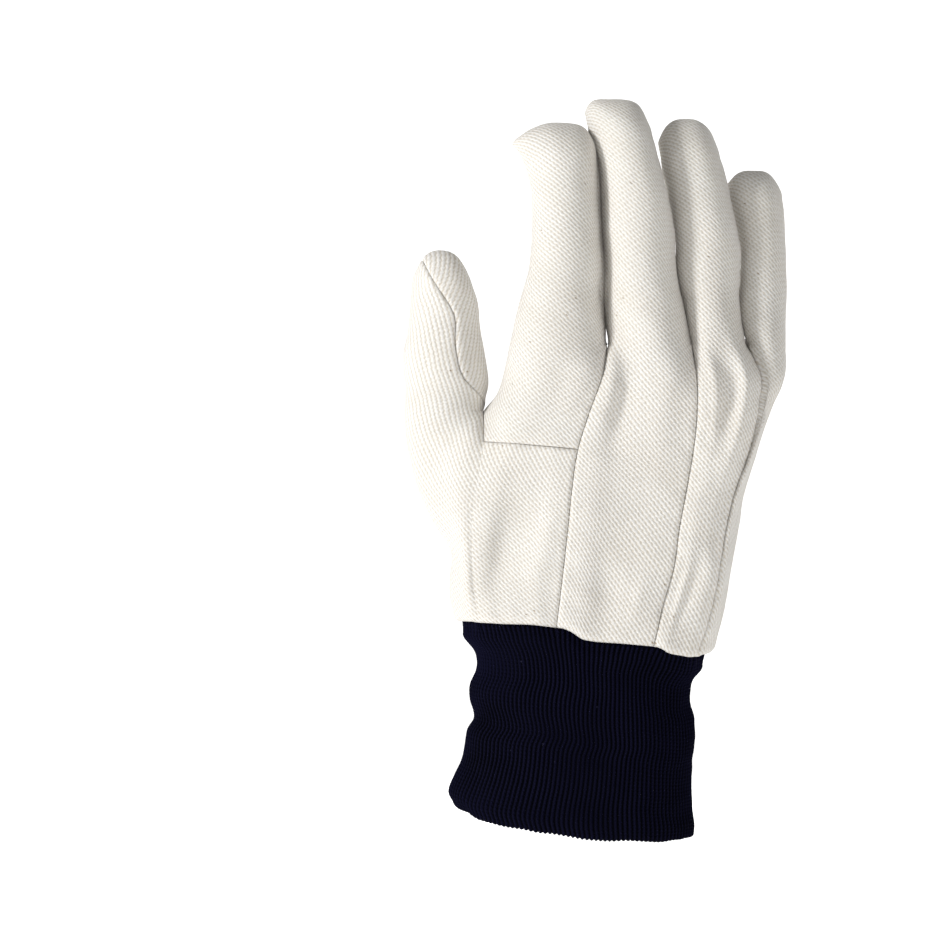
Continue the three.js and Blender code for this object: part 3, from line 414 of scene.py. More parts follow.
def skin_row(column, side, height, across):
    shared = [smooth(CROTCHES[k][0] - height, 0, 6) if k in CROTCHES else 0 for k in (column, column + 1)]
    fade = mix(smooth(across, 0, 0.22), 1, shared[0]) * mix(smooth(1 - across, 0, 0.22), 1, shared[1])
    if column == THUMB:
        on_palm, place = thumb_place(side, height, across)
        sides = np.where(on_palm, PALM, BACK)
        palm = bare_row(column, PALM, height, place)
        back = bare_row(column, BACK, height, place)
        points = np.where(on_palm[:, None], palm, back)
        depth = np.where(on_palm, fold_depth(column, PALM, height, place),
                         fold_depth(column, BACK, height, place))
        points[:, 1] -= sides * depth * fade
        return points
    points = bare_row(column, side, height, across)
    points[:, 1] -= side * fold_depth(column, side, height, across) * fade
    return points


# Mesh rows lie closer together beside a seam, where the cloth turns in. The
# turn into a crotch is spread over some height, so that it leaves no crease.
NEAR_SEAM = np.array([0, 0.12, 0.3, 0.55, 0.85, 1.2, 1.7, 2.4, 3.3])
ROW_PACE = 1.25
MIDDLE_STEPS = 21
DOME_STEPS = 14
CROTCH_SPREAD = 4.5
CROTCH_WINDOW = 12.0


def stretch(low, high):
    inner = np.linspace(low + NEAR_SEAM[-1], high - NEAR_SEAM[-1],
                        math.ceil((high - low - 2 * NEAR_SEAM[-1]) / ROW_PACE) + 1)
    return list(low + NEAR_SEAM[:-1]) + list(inner) + list(high - NEAR_SEAM[:-1][::-1])


def heights_of(column):
    root, length, _, depth = DIGITS[column][:4]
    dome_share = DIGITS[column][-1]
    end = dome_share * depth
    marks = [0, CROSS_SEAM, THUMB_CROTCH] + ([] if column == THUMB else [HAND_LENGTH])
    heights = []
    for low, high in zip(marks, marks[1:]):
        heights += stretch(low, high)[:-1]
    straight = root + length - end
    heights += [h for h in stretch(root, straight) if h < straight - NEAR_SEAM[-1]]
    turns = np.linspace(0, math.pi / 2, DOME_STEPS)
    heights += [straight - 1.2] + [straight + end * math.sin(turn) for turn in turns]
    return [round(float(h), 4) for h in heights]


def lengths(points, axis):
    steps = np.linalg.norm(np.diff(points, axis=axis), axis=2)
    start = np.zeros_like(steps.take([0], axis=axis))
    return np.concatenate([start, np.cumsum(steps, axis=axis)], axis=axis)


def eased(points, heights, column):
    """Spreads the turn into a crotch over some height, away from the line itself."""
    from_left = lengths(points, 1)
    from_edge = np.minimum(from_left, from_left[:, -1:] - from_left)
    weight = np.exp(-((heights[:, None] - heights[None, :]) / CROTCH_SPREAD) ** 2)
    weight *= np.gradient(heights)[None, :]
    soft = np.tensordot(weight / weight.sum(axis=1, keepdims=True), points, axes=(1, 0))
    marks = [CROTCHES[line][0] for line in (column, column + 1) if line in CROTCHES]
    near = sum(np.exp(-((heights - mark) / CROTCH_WINDOW) ** 2) for mark in set(marks))
    share = np.clip(near, 0, 1)[:, None] * (1 - np.exp(-(from_edge / CROTCH_SPREAD) ** 2))
    return mix(points, soft, share[:, :, None])


def grid_of(column, side):
    """The skin of a strip and its digit on one side, as rows of points."""
    dense = np.linspace(0, 1, 97)
    rows = []
    for height in heights_of(column):
        line = skin_row(column, side, height, dense)
        run = np.concatenate([[0], np.cumsum(np.linalg.norm(np.diff(line, axis=0), axis=1))])
        near = NEAR_SEAM * min(1, run[-1] / 14)
        middle = np.linspace(near[-1], run[-1] - near[-1], MIDDLE_STEPS)
        marks = np.concatenate([near[:-1], middle, run[-1] - near[:-1][::-1]])
        across = np.interp(marks, run, dense)
        across[0] = 0
        across[-1] = 1
        rows.append(skin_row(column, side, height, across))
    points = eased(np.array(rows), np.array(heights_of(column)), column)
    way = np.cross(np.gradient(points, axis=1), np.gradient(points, axis=0)) * -side
    way /= np.linalg.norm(way, axis=2, keepdims=True) + 1e-12
    from_left = lengths(points, 1)
    up = lengths(points, 0)
    return {"heights": np.array(heights_of(column)), "points": points, "normals": way,
            "left": from_left, "right": from_left[:, -1:] - from_left,
            "up": up, "down": up[-1:] - up}


skins = {(column, side): grid_of(column, side) for column in range(5) for side in (BACK, PALM)}


# Where two strips or two sides meet, the cloth faces the middle of their ways.
def agree(members):
    """members: (grid, rows, column index) that run along the same line."""
    total = sum(grid["normals"][rows, j] for grid, rows, j in members)
    total = total / (np.linalg.norm(total, axis=-1, keepdims=True) + 1e-12)
    return [(grid, rows, j, total) for grid, rows, j in members]


MEETING_REACH = 1.6
settled = []
for line in range(0, 6):
    for side in (BACK, PALM):
        if line in CROTCHES:
            crotch = CROTCHES[line][0]
            pair = [(line - 1, -1), (line, 0)]
            members = []
            for column, j in pair:
                grid = skins[column, side]
                members.append((grid, np.nonzero(grid["heights"] < crotch + 0.01)[0], j))
            settled += agree(members)
for column in range(5):
    for j, line in ((0, column), (-1, column + 1)):
        low = CROTCHES[line][0] - 0.01 if line in CROTCHES else -1
        heights = skins[column, BACK]["heights"]
        if line in CROTCHES or line in (0, 5):
            rows = np.nonzero(heights > low)[0]
            settled += agree([(skins[column, BACK], rows, j), (skins[column, PALM], rows, j)])
    last = np.array([len(skins[column, BACK]["heights"]) - 1])
    cols = skins[column, BACK]["points"].shape[1]
    for j in range(cols):
        settled += agree([(skins[column, BACK], last, j), (skins[column, PALM], last, j)])
for grid, rows, j, total in settled:
    grid["change"] = grid.get("change", np.zeros_like(grid["normals"]))
    shift = total - grid["normals"][rows, j]
    reach = grid["left"][rows] if j == 0 else grid["right"][rows]
    if len(rows) > 1:
        grid["change"][rows] += shift[:, None, :] * np.exp(-reach / MEETING_REACH)[:, :, None]
    else:
        column_down = grid["down"][:, j]
        grid["change"][:, j] += shift * np.exp(-column_down / MEETING_REACH)[:, None]
for grid in skins.values():
    way = grid["normals"] + grid["change"]
    grid["normals"] = way / (np.linalg.norm(way, axis=2, keepdims=True) + 1e-12)

# Close to a fingertip the cloth faces away from the middle of the finger's end.
TIP_DEPTH = 8.0
TIP_REACH = 2.5
for column in range(5):
    pair = [skins[column, side] for side in (BACK, PALM)]
    row = int(np.argmin(np.abs(pair[0]["heights"] - top_of(column) + TIP_DEPTH)))
    centre = sum(grid["points"][row].mean(axis=0) for grid in pair) / 2
    for grid in pair:
        away = grid["points"] - centre
        away /= np.linalg.norm(away, axis=2, keepdims=True)
        way = mix(grid["normals"], away, np.exp(-grid["down"] / TIP_REACH)[:, :, None])
        grid["normals"] = way / np.linalg.norm(way, axis=2, keepdims=True)

# Which edges of a strip are sewn, as a range of heights on its left and right.
ALWAYS = (0, 1000)
SEWN = {
    (THUMB, PALM): (ALWAYS, ALWAYS),
    (THUMB, BACK): (ALWAYS, (CROSS_SEAM, 1000)),
    (INDEX, PALM): ((0, THUMB_CROTCH), (HAND_LENGTH, 1000)),
    (INDEX, BACK): ((CROSS_SEAM, THUMB_CROTCH), ALWAYS),
    (MIDDLE, PALM): ((HAND_LENGTH, 1000), (HAND_LENGTH, 1000)),
    (MIDDLE, BACK): (ALWAYS, ALWAYS),
    (RING, PALM): ((HAND_LENGTH, 1000), (HAND_LENGTH, 1000)),
    (RING, BACK): (ALWAYS, ALWAYS),
    (LITTLE, PALM): ((HAND_LENGTH, 1000), None),
    (LITTLE, BACK): (ALWAYS, None),
}

# A seam pulls the cloth in over SEAM_REACH by SEAM_DIP, a little more at every
# stitch. The seam beside the thumb crotch is pulled nearly flat.
SEAM_REACH = 1.7
SEAM_DIP = 1.15
STITCH_PITCH = 3.2
STITCH_PULL = 0.22
FLAT_SHARE = 0.7
FLAT_WIDTH = 4.0

# The mouth is turned in over the cuff.
MOUTH_REACH = 2.4
MOUTH_DIP = 1.5

# Creases that wearing leaves: height, size of their pattern in x, y, z, and seed.
CREASES = [
    (0.55, (24, 24, 34), 3.7),
    (0.26, (9, 9, 13), 11.3),
    (0.1, (3.6, 3.6, 4.4), 5.9),
]
SEAM_CREASE = (0.5, (7, 7, 5), 8.1)
SEAM_CREASE_REACH = 5.0
MOUTH_PUCKER = (0.9, (6.5, 40, 26), 21.0)
MOUTH_PUCKER_REACH = 9.0


def seam_distance(column, side):
    """How far each point of a strip is from the nearest sewn edge."""
    grid = skins[column, side]
    heights = grid["heights"][:, None]
    best = np.full(grid["left"].shape, 1000.0)
    for run, sewn in zip((grid["left"], grid["right"]), SEWN[column, side]):
        if sewn:
            off = np.maximum(0, np.maximum(sewn[0] - heights, heights - sewn[1]))
            best = np.minimum(best, np.hypot(run, off))
    best = np.minimum(best, grid["down"])
    if (column, side) == (INDEX, BACK):
        at = int(np.argmin(np.abs(grid["heights"] - CROSS_SEAM)))
        best = np.minimum(best, np.abs(grid["up"] - grid["up"][at]))
    return best, grid["up"]


def rolled(distance, reach, dip):
    """Depth of a turned edge at a distance from its seam."""
    q = np.clip(1 - distance / reach, 0, 1)
    return dip * (1 - np.sqrt(1 - q * q))


def noise_at(points, scale, seed):
    flat = points.reshape(-1, 3) / np.asarray(scale, dtype=float)
    values = [noise.noise(Vector((p[0] + seed, p[1] + 2 * seed, p[2] - seed))) for p in flat]
    return np.array(values).reshape(points.shape[:-1])


def cloth_height(column, side):
    """How far the cloth stands off the skin: turned edges, puckers, small creases."""
    grid = skins[column, side]
    points = grid["points"]
    distance, bottom = seam_distance(column, side)
    pull = 1 + STITCH_PULL * np.cos(2 * math.pi * grid["up"] / STITCH_PITCH)
    if (column, side) in ((THUMB, BACK), (INDEX, BACK)):
        heights = grid["heights"][:, None]
        run = grid["right"] if column == THUMB else grid["left"]
        flat = smooth(heights, CROSS_SEAM - 3, CROSS_SEAM + 2)
        flat = flat * (1 - smooth(heights, THUMB_CROTCH, THUMB_CROTCH + 4))
        pull = pull * (1 - FLAT_SHARE * flat * np.exp(-(run / FLAT_WIDTH) ** 2))
    height = -rolled(distance, SEAM_REACH, SEAM_DIP) * pull
    height -= rolled(bottom, MOUTH_REACH, MOUTH_DIP)
    for size, scale, seed in CREASES:
        height += size * noise_at(points, scale, seed)
    size, scale, seed = SEAM_CREASE
    height += np.exp(-distance / SEAM_CREASE_REACH) * size * noise_at(points, scale, seed)
    size, scale, seed = MOUTH_PUCKER
    puckers = np.exp(-bottom / MOUTH_PUCKER_REACH) * smooth(bottom, 0, 3)
    height += puckers * size * noise_at(points, scale, seed)
    return height


for place, grid in skins.items():
    grid["outer"] = grid["points"] + grid["normals"] * cloth_height(*place)[:, :, None]
    grid["inner"] = grid["outer"] - grid["normals"] * CLOTH


# Lengths along the cloth, for the weave: v up the panel, w towards the left as
# it is seen from outside. Where the palm panel wraps round to the back, its palm
# side gives way, so that the weave runs on.
TWILL_PITCH = 1.8


def lay_out():
    for column in range(5):
        heights = skins[column, PALM]["heights"]
        root = DIGITS[column][0]
        start = int(np.argmin(np.abs(heights - root)))
        middle = skins[column, PALM]["left"].shape[1] // 2
        run = sum(skins[column, side]["up"][:, middle] for side in (BACK, PALM)) / 2
        v = np.where(heights <= root, heights, root + run - run[start])
        for side in (BACK, PALM):
            grid = skins[column, side]
            from_middle = grid["left"] - grid["left"][:, middle:middle + 1]
            grid["w"] = side * (grid["points"][:, middle, :1] + from_middle)
            grid["v"] = np.repeat(v[:, None], from_middle.shape[1], 1)
    for column, edge, low in ((INDEX, 0, THUMB_CROTCH), (LITTLE, -1, 0)):
        palm = skins[column, PALM]
        step = palm["w"][:, edge] - skins[column, BACK]["w"][:, edge]
        start = int(np.argmin(np.abs(palm["heights"] - low)))
        step[:start] = step[start]
        step -= round(float(step.mean()) / TWILL_PITCH) * TWILL_PITCH
        share = palm["left"] / (palm["left"][:, -1:] + 1e-9)
        away = share if edge == 0 else 1 - share
        palm["w"] -= step[:, None] * (1 - smooth(away, 0, 1))


lay_out()
SEAM_GAP = 0.12


def leaning(w, v, weave):
    """Place across the twill lines, which lean by the given degrees up the panel."""
    places = np.arange(0, 261.0)
    slope = np.tan(np.radians(np.interp(places, [r[0] for r in weave], [r[1] for r in weave])))
    shift = np.concatenate([[0], np.cumsum((slope[1:] + slope[:-1]) / 2)])
    return w - np.interp(v, places, shift)


def cloth_panel(name, patches, weave):
    """Sews stretches of the skin into one panel with an outer and an inner face."""
    index = {}
    outer = []
    inner = []
    lay = []
    quads = []
    for column, side, low, high in patches:
        grid = skins[column, side]
        rows = np.nonzero((grid["heights"] > low - 0.01) & (grid["heights"] < high + 0.01))[0]
        out = grid["outer"][rows].copy()
        ins = grid["inner"][rows].copy()
        v = grid["v"][rows]
        w = leaning(grid["w"][rows], v, weave)
        heights = grid["heights"][rows]
        for j, beside, sewn in ((0, 1, SEWN[column, side][0]), (-1, -2, SEWN[column, side][1])):
            if sewn:
                here = (heights > sewn[0] - 0.01) & (heights < sewn[1] + 0.01)
                step = out[here, beside] - out[here, j]
                step *= SEAM_GAP / (np.linalg.norm(step, axis=1, keepdims=True) + 1e-9)
                out[here, j] += step
                ins[here, j] += step
        if low == CROSS_SEAM:
            out[0, :, 2] += SEAM_GAP
            ins[0, :, 2] += SEAM_GAP
        ids = np.zeros(out.shape[:2], dtype=int)
        for i in range(out.shape[0]):
            for j in range(out.shape[1]):
                key = tuple(np.round(out[i, j] * 100).astype(int))
                if key not in index:
                    index[key] = len(outer)
                    outer.append(out[i, j])
                    inner.append(ins[i, j])
                ids[i, j] = index[key]
        for i in range(len(ids) - 1):
            for j in range(ids.shape[1] - 1):
                corners = [(i, j), (i, j + 1), (i + 1, j + 1), (i + 1, j)]
                if side == PALM:
                    corners.reverse()
                loop = [ids[c] for c in corners]
                if len(set(loop)) == 4:
                    quads.append(loop)
                    lay.append([(w[c], v[c]) for c in corners])
    count = len(outer)
    edges = {}
    for face, loop in enumerate(quads):
        for k in range(4):
            edges[loop[k], loop[(k + 1) % 4]] = (face, k)
    faces = [list(loop) for loop in quads] + [[a + count for a in reversed(loop)] for loop in quads]
    places = lay + [list(reversed(spots)) for spots in lay]
    for (a, b), (face, k) in edges.items():
        if (b, a) not in edges:
            faces.append([a, a + count, b + count, b])
            here, there = lay[face][k], lay[face][(k + 1) % 4]
            places.append([here, here, there, there])
    mesh = bpy.data.meshes.new(name)
    mesh.from_pydata([tuple(p * MM) for p in outer] + [tuple(p * MM) for p in inner], [], faces)
    layer = mesh.uv_layers.new(name="cloth")
    spots = np.array([spot for face in places for spot in face]) * MM
    layer.data.foreach_set("uv", spots.ravel())
    mesh.polygons.foreach_set("use_smooth", [True] * len(faces))
    mesh.update()
    piece = bpy.data.objects.new(name, mesh)
    bpy.context.scene.collection.objects.link(piece)
    return piece


# Palm panel
# One piece of natural cotton drill makes the palm and the fronts of the four
# fingers; it wraps round to the index finger's back and the edge of the hand.
# Lean of its twill lines: height above the cuff seam, degrees.
PALM_WEAVE = [(0, 40), (70, 46)]
palm_panel = cloth_panel("palm_cloth", [
    (INDEX, PALM, 0, top_of(INDEX)),
    (MIDDLE, PALM, 0, top_of(MIDDLE)),
    (RING, PALM, 0, top_of(RING)),
    (LITTLE, PALM, 0, top_of(LITTLE)),
    (INDEX, BACK, CROSS_SEAM, top_of(INDEX)),
    (LITTLE, BACK, 0, top_of(LITTLE)),
], PALM_WEAVE)
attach(palm_panel, "root")
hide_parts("palm_panel")


def linear(code):
    """The linear colour of an sRGB hex value."""
    parts = [int(code[i:i + 2], 16) / 255 for i in (0, 2, 4)]
    return [p / 12.92 if p <= 0.04045 else ((p + 0.055) / 1.055) ** 2.4 for p in parts] + [1]


def add_node(tree, kind, settings=None, **links):
    """Adds a node, sets its values and joins its inputs to nodes (their first
    output) or to single outputs."""
    node = tree.nodes.new("ShaderNode" + kind)
    for key, value in (settings or {}).items():
        if isinstance(key, int) or key in node.inputs:
            node.inputs[key].default_value = value
        else:
            setattr(node, key, value)
    for key, source in links.items():
        slot = int(key[1:]) if key[0] == "i" and key[1:].isdigit() else key.replace("_", " ")
        tree.links.new(getattr(source, "outputs", [source])[0], node.inputs[slot])
    return node


# Cotton drill: a napped 3/1 twill of unbleached yarn. The eye sees fine slanted
# ribs of short floats, soft fuzz, uneven cream colour and a few seed flecks. Real
# drill is finer: its lines are drawn TWILL_PITCH apart so that the eye sees them.
FLOAT_LENGTH = 1.5
YARN_WANDER = 0.001

drill = bpy.data.materials.new("natural_cotton_drill")
drill.use_nodes = True
tree = drill.node_tree
tree.nodes.clear()
uv = add_node(tree, "UVMap", {"uv_map": "cloth"})
wander = add_node(tree, "TexNoise", {"Scale": 160.0, "Detail": 2.0}, Vector=uv)
wander_off = add_node(tree, "VectorMath",
                      {"operation": "MULTIPLY_ADD", 1: (YARN_WANDER, YARN_WANDER, 0)},
                      i0=wander.outputs["Color"])
bent = add_node(tree, "VectorMath", {"operation": "ADD"}, i0=uv, i1=wander_off)
split = add_node(tree, "SeparateXYZ", {}, i0=bent)
rib_place = add_node(tree, "Math", {"operation": "DIVIDE", 1: TWILL_PITCH * MM}, i0=split)
rib_turn = add_node(tree, "Math", {"operation": "MULTIPLY", 1: 2 * math.pi}, i0=rib_place)
rib_wave = add_node(tree, "Math", {"operation": "COSINE"}, i0=rib_turn)
rib_number = add_node(tree, "Math", {"operation": "ROUND"}, i0=rib_place)
float_shift = add_node(tree, "Math", {"operation": "MULTIPLY", 1: 0.37}, i0=rib_number)
float_place = add_node(tree, "Math", {"operation": "DIVIDE", 1: FLOAT_LENGTH * MM}, i0=split.outputs[1])
float_sum = add_node(tree, "Math", {"operation": "ADD"}, i0=float_place, i1=float_shift)
float_turn = add_node(tree, "Math", {"operation": "MULTIPLY", 1: 2 * math.pi}, i0=float_sum)
float_wave = add_node(tree, "Math", {"operation": "COSINE"}, i0=float_turn)
float_part = add_node(tree, "Math", {"operation": "MULTIPLY", 1: 0.5}, i0=float_wave)
weave = add_node(tree, "Math", {"operation": "ADD"}, i0=rib_wave, i1=float_part)
fuzz = add_node(tree, "TexNoise", {"Scale": 1500.0, "Detail": 3.0, "Roughness": 0.7}, Vector=uv)
patch = add_node(tree, "TexNoise", {"Scale": 55.0, "Detail": 4.0, "Roughness": 0.6}, Vector=uv)
relief = add_node(tree, "Math", {"operation": "MULTIPLY_ADD", 1: 2.6}, i0=fuzz, i2=weave)
bump = add_node(tree, "Bump", {"Strength": 0.5, "Distance": 0.00013}, Height=relief)
# Painted shade: the yarn colour is mixed towards a darker beige (CCC3B3) in the grooves between the twill
# ribs, where shade falls; the ribs keep the yarn's own cream (ECEBE9).
painted_groove_shade = add_node(tree, "MapRange", {"From Min": -1.6, "From Max": 0.2, "To Min": 0.0, "To Max": 1.0},
                  Value=weave)
yarn_with_painted_shade = add_node(tree, "Mix", {"data_type": "RGBA", 6: linear("CCC3B3"), 7: linear("ECEBE9")},
                i0=painted_groove_shade)
tone = add_node(tree, "Mix", {"data_type": "RGBA", "blend_type": "MULTIPLY", 7: linear("F0ECE6")},
                i0=patch, i6=yarn_with_painted_shade.outputs[2])
fuzz_tone = add_node(tree, "MapRange", {"From Min": 0.36, "From Max": 0.62, "To Min": 0.8, "To Max": 1.0},
                Value=fuzz)
mottled = add_node(tree, "VectorMath", {"operation": "SCALE"}, i0=tone.outputs[2], Scale=fuzz_tone)
seeds = add_node(tree, "TexVoronoi", {"Scale": 210.0, "Randomness": 1.0}, Vector=uv)
fleck = add_node(tree, "MapRange", {"From Min": 0.05, "From Max": 0.085, "To Min": 1.0, "To Max": 0.0},
                 Value=seeds.outputs["Distance"])
lot = add_node(tree, "SeparateXYZ", {}, i0=seeds.outputs["Color"])
rare = add_node(tree, "Math", {"operation": "GREATER_THAN", 1: 0.86}, i0=lot)
speck = add_node(tree, "Math", {"operation": "MULTIPLY"}, i0=fleck, i1=rare)
colour = add_node(tree, "Mix", {"data_type": "RGBA", 7: linear("8C7A63")},
                  i0=speck, i6=mottled)
surface = add_node(tree, "BsdfPrincipled",
                   {"Roughness": 0.95, "Sheen Weight": 0.15, "Specular IOR Level": 0.2},
                   Normal=bump)
tree.links.new(colour.outputs[2], surface.inputs["Base Color"])
add_node(tree, "OutputMaterial", {}, Surface=surface)
palm_panel.data.materials.append(drill)

# Back panels of the middle and ring fingers
# Each is a strip of drill that runs from the cuff to its fingertip and is sewn,
# edges turned in, to the panels beside it.
BACK_WEAVE = [(0, 36), (90, 42), (190, 50)]
middle_back = cloth_panel("middle_back_cloth", [(MIDDLE, BACK, 0, top_of(MIDDLE))], BACK_WEAVE)
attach(middle_back, "root")
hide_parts("middle_back_panel")
middle_back.data.materials.append(drill)

ring_back = cloth_panel("ring_back_cloth", [(RING, BACK, 0, top_of(RING))], BACK_WEAVE)
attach(ring_back, "root")
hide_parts("ring_back_panel")
ring_back.data.materials.append(drill)

# Thumb panels
# The back of the thumb is one piece with the back of the hand below the index
# finger; the inner piece closes the thumb towards the palm.
THUMB_BACK_WEAVE = [(0, 46), (45, 44), (85, 8), (140, 4)]
THUMB_INNER_WEAVE = [(0, 40), (140, -56)]
thumb_back = cloth_panel("thumb_back_cloth", [
    (INDEX, BACK, 0, CROSS_SEAM),
    (THUMB, BACK, 0, top_of(THUMB)),
], THUMB_BACK_WEAVE)
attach(thumb_back, "root")
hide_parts("thumb_back_panel")
thumb_back.data.materials.append(drill)

thumb_inner = cloth_panel("thumb_inner_cloth", [(THUMB, PALM, 0, top_of(THUMB))], THUMB_INNER_WEAVE)
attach(thumb_inner, "root")
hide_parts("thumb_inner_panel")
thumb_inner.data.materials.append(drill)

# Knitted cuff
# A tube of navy 1x1 rib knit, doubled over at the hem and sewn inside the mouth
# of the cloth. It hugs the wrist, and its ribs run straight up and down.
KNIT = 2.8
RIB_COUNT = 126
RIB_SAMPLES = 6
RIB_RELIEF = 0.6
RIB_WANDER = [(0.22, (30, 30, 16), 2.4), (0.1, (9, 9, 7), 6.4)]
KNIT_CREASES = [(0.75, (16, 16, 11), 9.2), (0.3, (7, 7, 4.5), 4.1)]
INNER_CREASE = -0.6
CREASE_START = (4.0, 9.0)
HEM_RISE = 12.0
TUCK = 4.0
UNDER_CLOTH = 2.95
JOIN_AT = 0.92
WALL_LEVELS = 56
INNER_LEVELS = 14
HEM_STEPS = 9
LOOP_SHARES = 61
CUFF_ROUND = 2.3
# Share of the cuff height from the hem; sides in shares of the cuff width; back
# and palm in shares of its depth.
CUFF_ROWS = [
    (0, -0.519, 0.51, -0.5, 0.5), (0.05, -0.536, 0.514, -0.512, 0.51),
    (0.14, -0.51, 0.501, -0.505, 0.5), (0.22, -0.485, 0.499, -0.495, 0.49),
    (0.31, -0.467, 0.498, -0.488, 0.483), (0.4, -0.458, 0.502, -0.482, 0.478),
    (0.465, -0.431, 0.508, -0.478, 0.474), (0.57, -0.452, 0.512, -0.475, 0.472),
    (0.645, -0.448, 0.509, -0.472, 0.47), (0.72, -0.42, 0.496, -0.47, 0.468),
    (0.79, -0.42, 0.496, -0.468, 0.466), (0.85, -0.433, 0.504, -0.468, 0.466),
    (0.92, -0.478, 0.548, -0.47, 0.468),
]
HEM_SAG = [(0, 0.58, 0.58), (1, 0.17, 0.42), (2, -0.27, 0.25), (3, -0.48, 0.1),
           (4, -0.46, -0.1), (5, -0.38, -0.38)]


def mouth_loop():
    """The mouth of the cloth: base and raised point, side and place across."""
    spots = []
    for side in (BACK, PALM):
        for column in (range(5) if side == BACK else range(4, -1, -1)):
            shares = np.linspace(0, 1, LOOP_SHARES)[:-1]
            shares = shares if side == BACK else 1 - shares
            place = shares
            sign = np.full(len(shares), side)
            if column == THUMB:
                on_palm, place = thumb_place(side, 0, shares)
                sign = np.where(on_palm, PALM, BACK)
            spots.append(np.column_stack([skin_row(column, side, 0, shares),
                                          skin_row(column, side, TUCK, shares), sign, column + place]))
    return np.concatenate(spots)


def spread_evenly(loop, count):
    """Picks places along a closed loop so that they lie evenly along it."""
    ring = loop[:, :2]
    steps = np.linalg.norm(np.diff(ring, axis=0, append=ring[:1]), axis=1)
    run = np.concatenate([[0], np.cumsum(steps)])
    return np.interp(np.arange(count) / count * run[-1], run, np.arange(len(loop) + 1))


mouth = mouth_loop()
low_x, high_x = mouth[:, 0].min(), mouth[:, 0].max()


def cuff_ring(at, inset, spots):
    """One level of the cuff, a share of the way up from the hem."""
    reach = np.clip(2 * (spots[:, 0] - low_x) / (high_x - low_x) - 1, -1, 1)
    row = [float(through([r[0] for r in CUFF_ROWS], [r[k] for r in CUFF_ROWS], at)) for k in range(1, 5)]
    half = (row[1] - row[0]) / 2 * CUFF_WIDTH - inset
    bulge = np.sqrt(1 - np.abs(reach) ** CUFF_ROUND)
    deep = np.where(spots[:, 6] < 0, row[2], row[3]) * CUFF_DEPTH - inset * spots[:, 6]
    sags = [through([r[0] for r in HEM_SAG], [r[k] for r in HEM_SAG], spots[:, 7]) for k in (1, 2)]
    hem = HEM_RISE * np.where(spots[:, 6] < 0, sags[0], sags[1])
    x = (row[0] + row[1]) / 2 * CUFF_WIDTH + half * reach
    return np.column_stack([x, deep * bulge, mix(hem, spots[:, 2], at)])


def mouth_ring(share, inset, spots):
    """A ring inside the mouth of the cloth, inset from its outer face."""
    along = np.roll(spots[:, :3], -1, 0) - np.roll(spots[:, :3], 1, 0)
    ways = np.cross(along, spots[:, 3:6] - spots[:, :3])
    ways /= np.linalg.norm(ways, axis=1, keepdims=True)
    return mix(spots[:, :3], spots[:, 3:6], share) - ways * inset


count = RIB_COUNT * RIB_SAMPLES
waist = cuff_ring(0.5, 0, mouth)
marks = spread_evenly(waist, count)
wrapped = np.vstack([mouth, mouth[:1]])
spots = np.column_stack([np.interp(marks, np.arange(len(wrapped)), wrapped[:, k]) for k in range(8)])
spots[:, 6] = np.where(spots[:, 6] < 0, BACK, PALM)


def cuff_level(at, inset):
    """A level of the cuff, led under the cloth near its top."""
    ring = cuff_ring(min(at, JOIN_AT), inset, spots)
    if at > JOIN_AT:
        ring[:, 2] = cuff_ring(at, inset, spots)[:, 2]
        joined = mouth_ring(0, UNDER_CLOTH + inset, spots)
        share = float(smooth(at, JOIN_AT, 1))
        ring[:, :2] = mix(ring[:, :2], joined[:, :2], share)
    return ring


levels = np.linspace(1, 0, WALL_LEVELS)
outside = [mouth_ring(1, 1.9, spots), mouth_ring(0.5, 2.3, spots)]
outside += [cuff_level(at, 0) for at in levels]
hem_turn = []
for angle in np.linspace(0, math.pi, HEM_STEPS)[1:-1]:
    ring = cuff_level(0, KNIT / 2 * (1 - math.cos(angle)))
    ring[:, 2] -= KNIT / 2 * math.sin(angle)
    hem_turn.append(ring)
inner_levels = np.linspace(0, 1, INNER_LEVELS)
inside = [cuff_level(at, KNIT) for at in inner_levels] + [mouth_ring(1, 4.7, spots)]
rings = np.array(outside + hem_turn + inside)
around = np.roll(rings, -1, 1) - np.roll(rings, 1, 1)
down = np.gradient(rings, axis=0)
ways = np.cross(around, down)
ways /= np.linalg.norm(ways, axis=2, keepdims=True) + 1e-12
if (ways[20, 0] @ (rings[20, 0] - rings[20].mean(axis=0))) < 0:
    ways = -ways
outer_count = len(outside) + len(hem_turn)
run_down = lengths(rings, 0)
rib_at = np.arange(count)[None, :] / RIB_SAMPLES
for size, scale, seed in RIB_WANDER:
    rib_at = rib_at + size * noise_at(rings, scale, seed)
rib = RIB_RELIEF * ((0.5 + 0.5 * np.cos(2 * math.pi * rib_at)) ** 0.75 - 0.5)
soft = sum(size * noise_at(rings, scale, seed) for size, scale, seed in KNIT_CREASES)
outer_part = (np.arange(len(rings)) < outer_count)[:, None]
soft = soft * smooth(run_down, *CREASE_START)
rings = rings + ways * np.where(outer_part, rib + soft, soft * INNER_CREASE)[:, :, None]
faces = []
spots_uv = []
for i in range(len(rings)):
    below = (i + 1) % len(rings)
    v_here = run_down[i, 0]
    v_below = run_down[i + 1, 0] if i + 1 < len(rings) else run_down[i, 0] + 3
    for j in range(count):
        after = (j + 1) % count
        faces.append((i * count + j, below * count + j, below * count + after, i * count + after))
        spots_uv += [(j / RIB_SAMPLES, -v_here), (j / RIB_SAMPLES, -v_below),
                     ((j + 1) / RIB_SAMPLES, -v_below), ((j + 1) / RIB_SAMPLES, -v_here)]
mesh = bpy.data.meshes.new("knit_cuff_rib")
mesh.from_pydata([tuple(p) for p in rings.reshape(-1, 3) * MM], [], faces)
layer = mesh.uv_layers.new(name="knit")
layer.data.foreach_set("uv", np.array(spots_uv, dtype=float).ravel())
mesh.polygons.foreach_set("use_smooth", [True] * len(faces))
mesh.update()
cuff = bpy.data.objects.new("knit_cuff_rib", mesh)
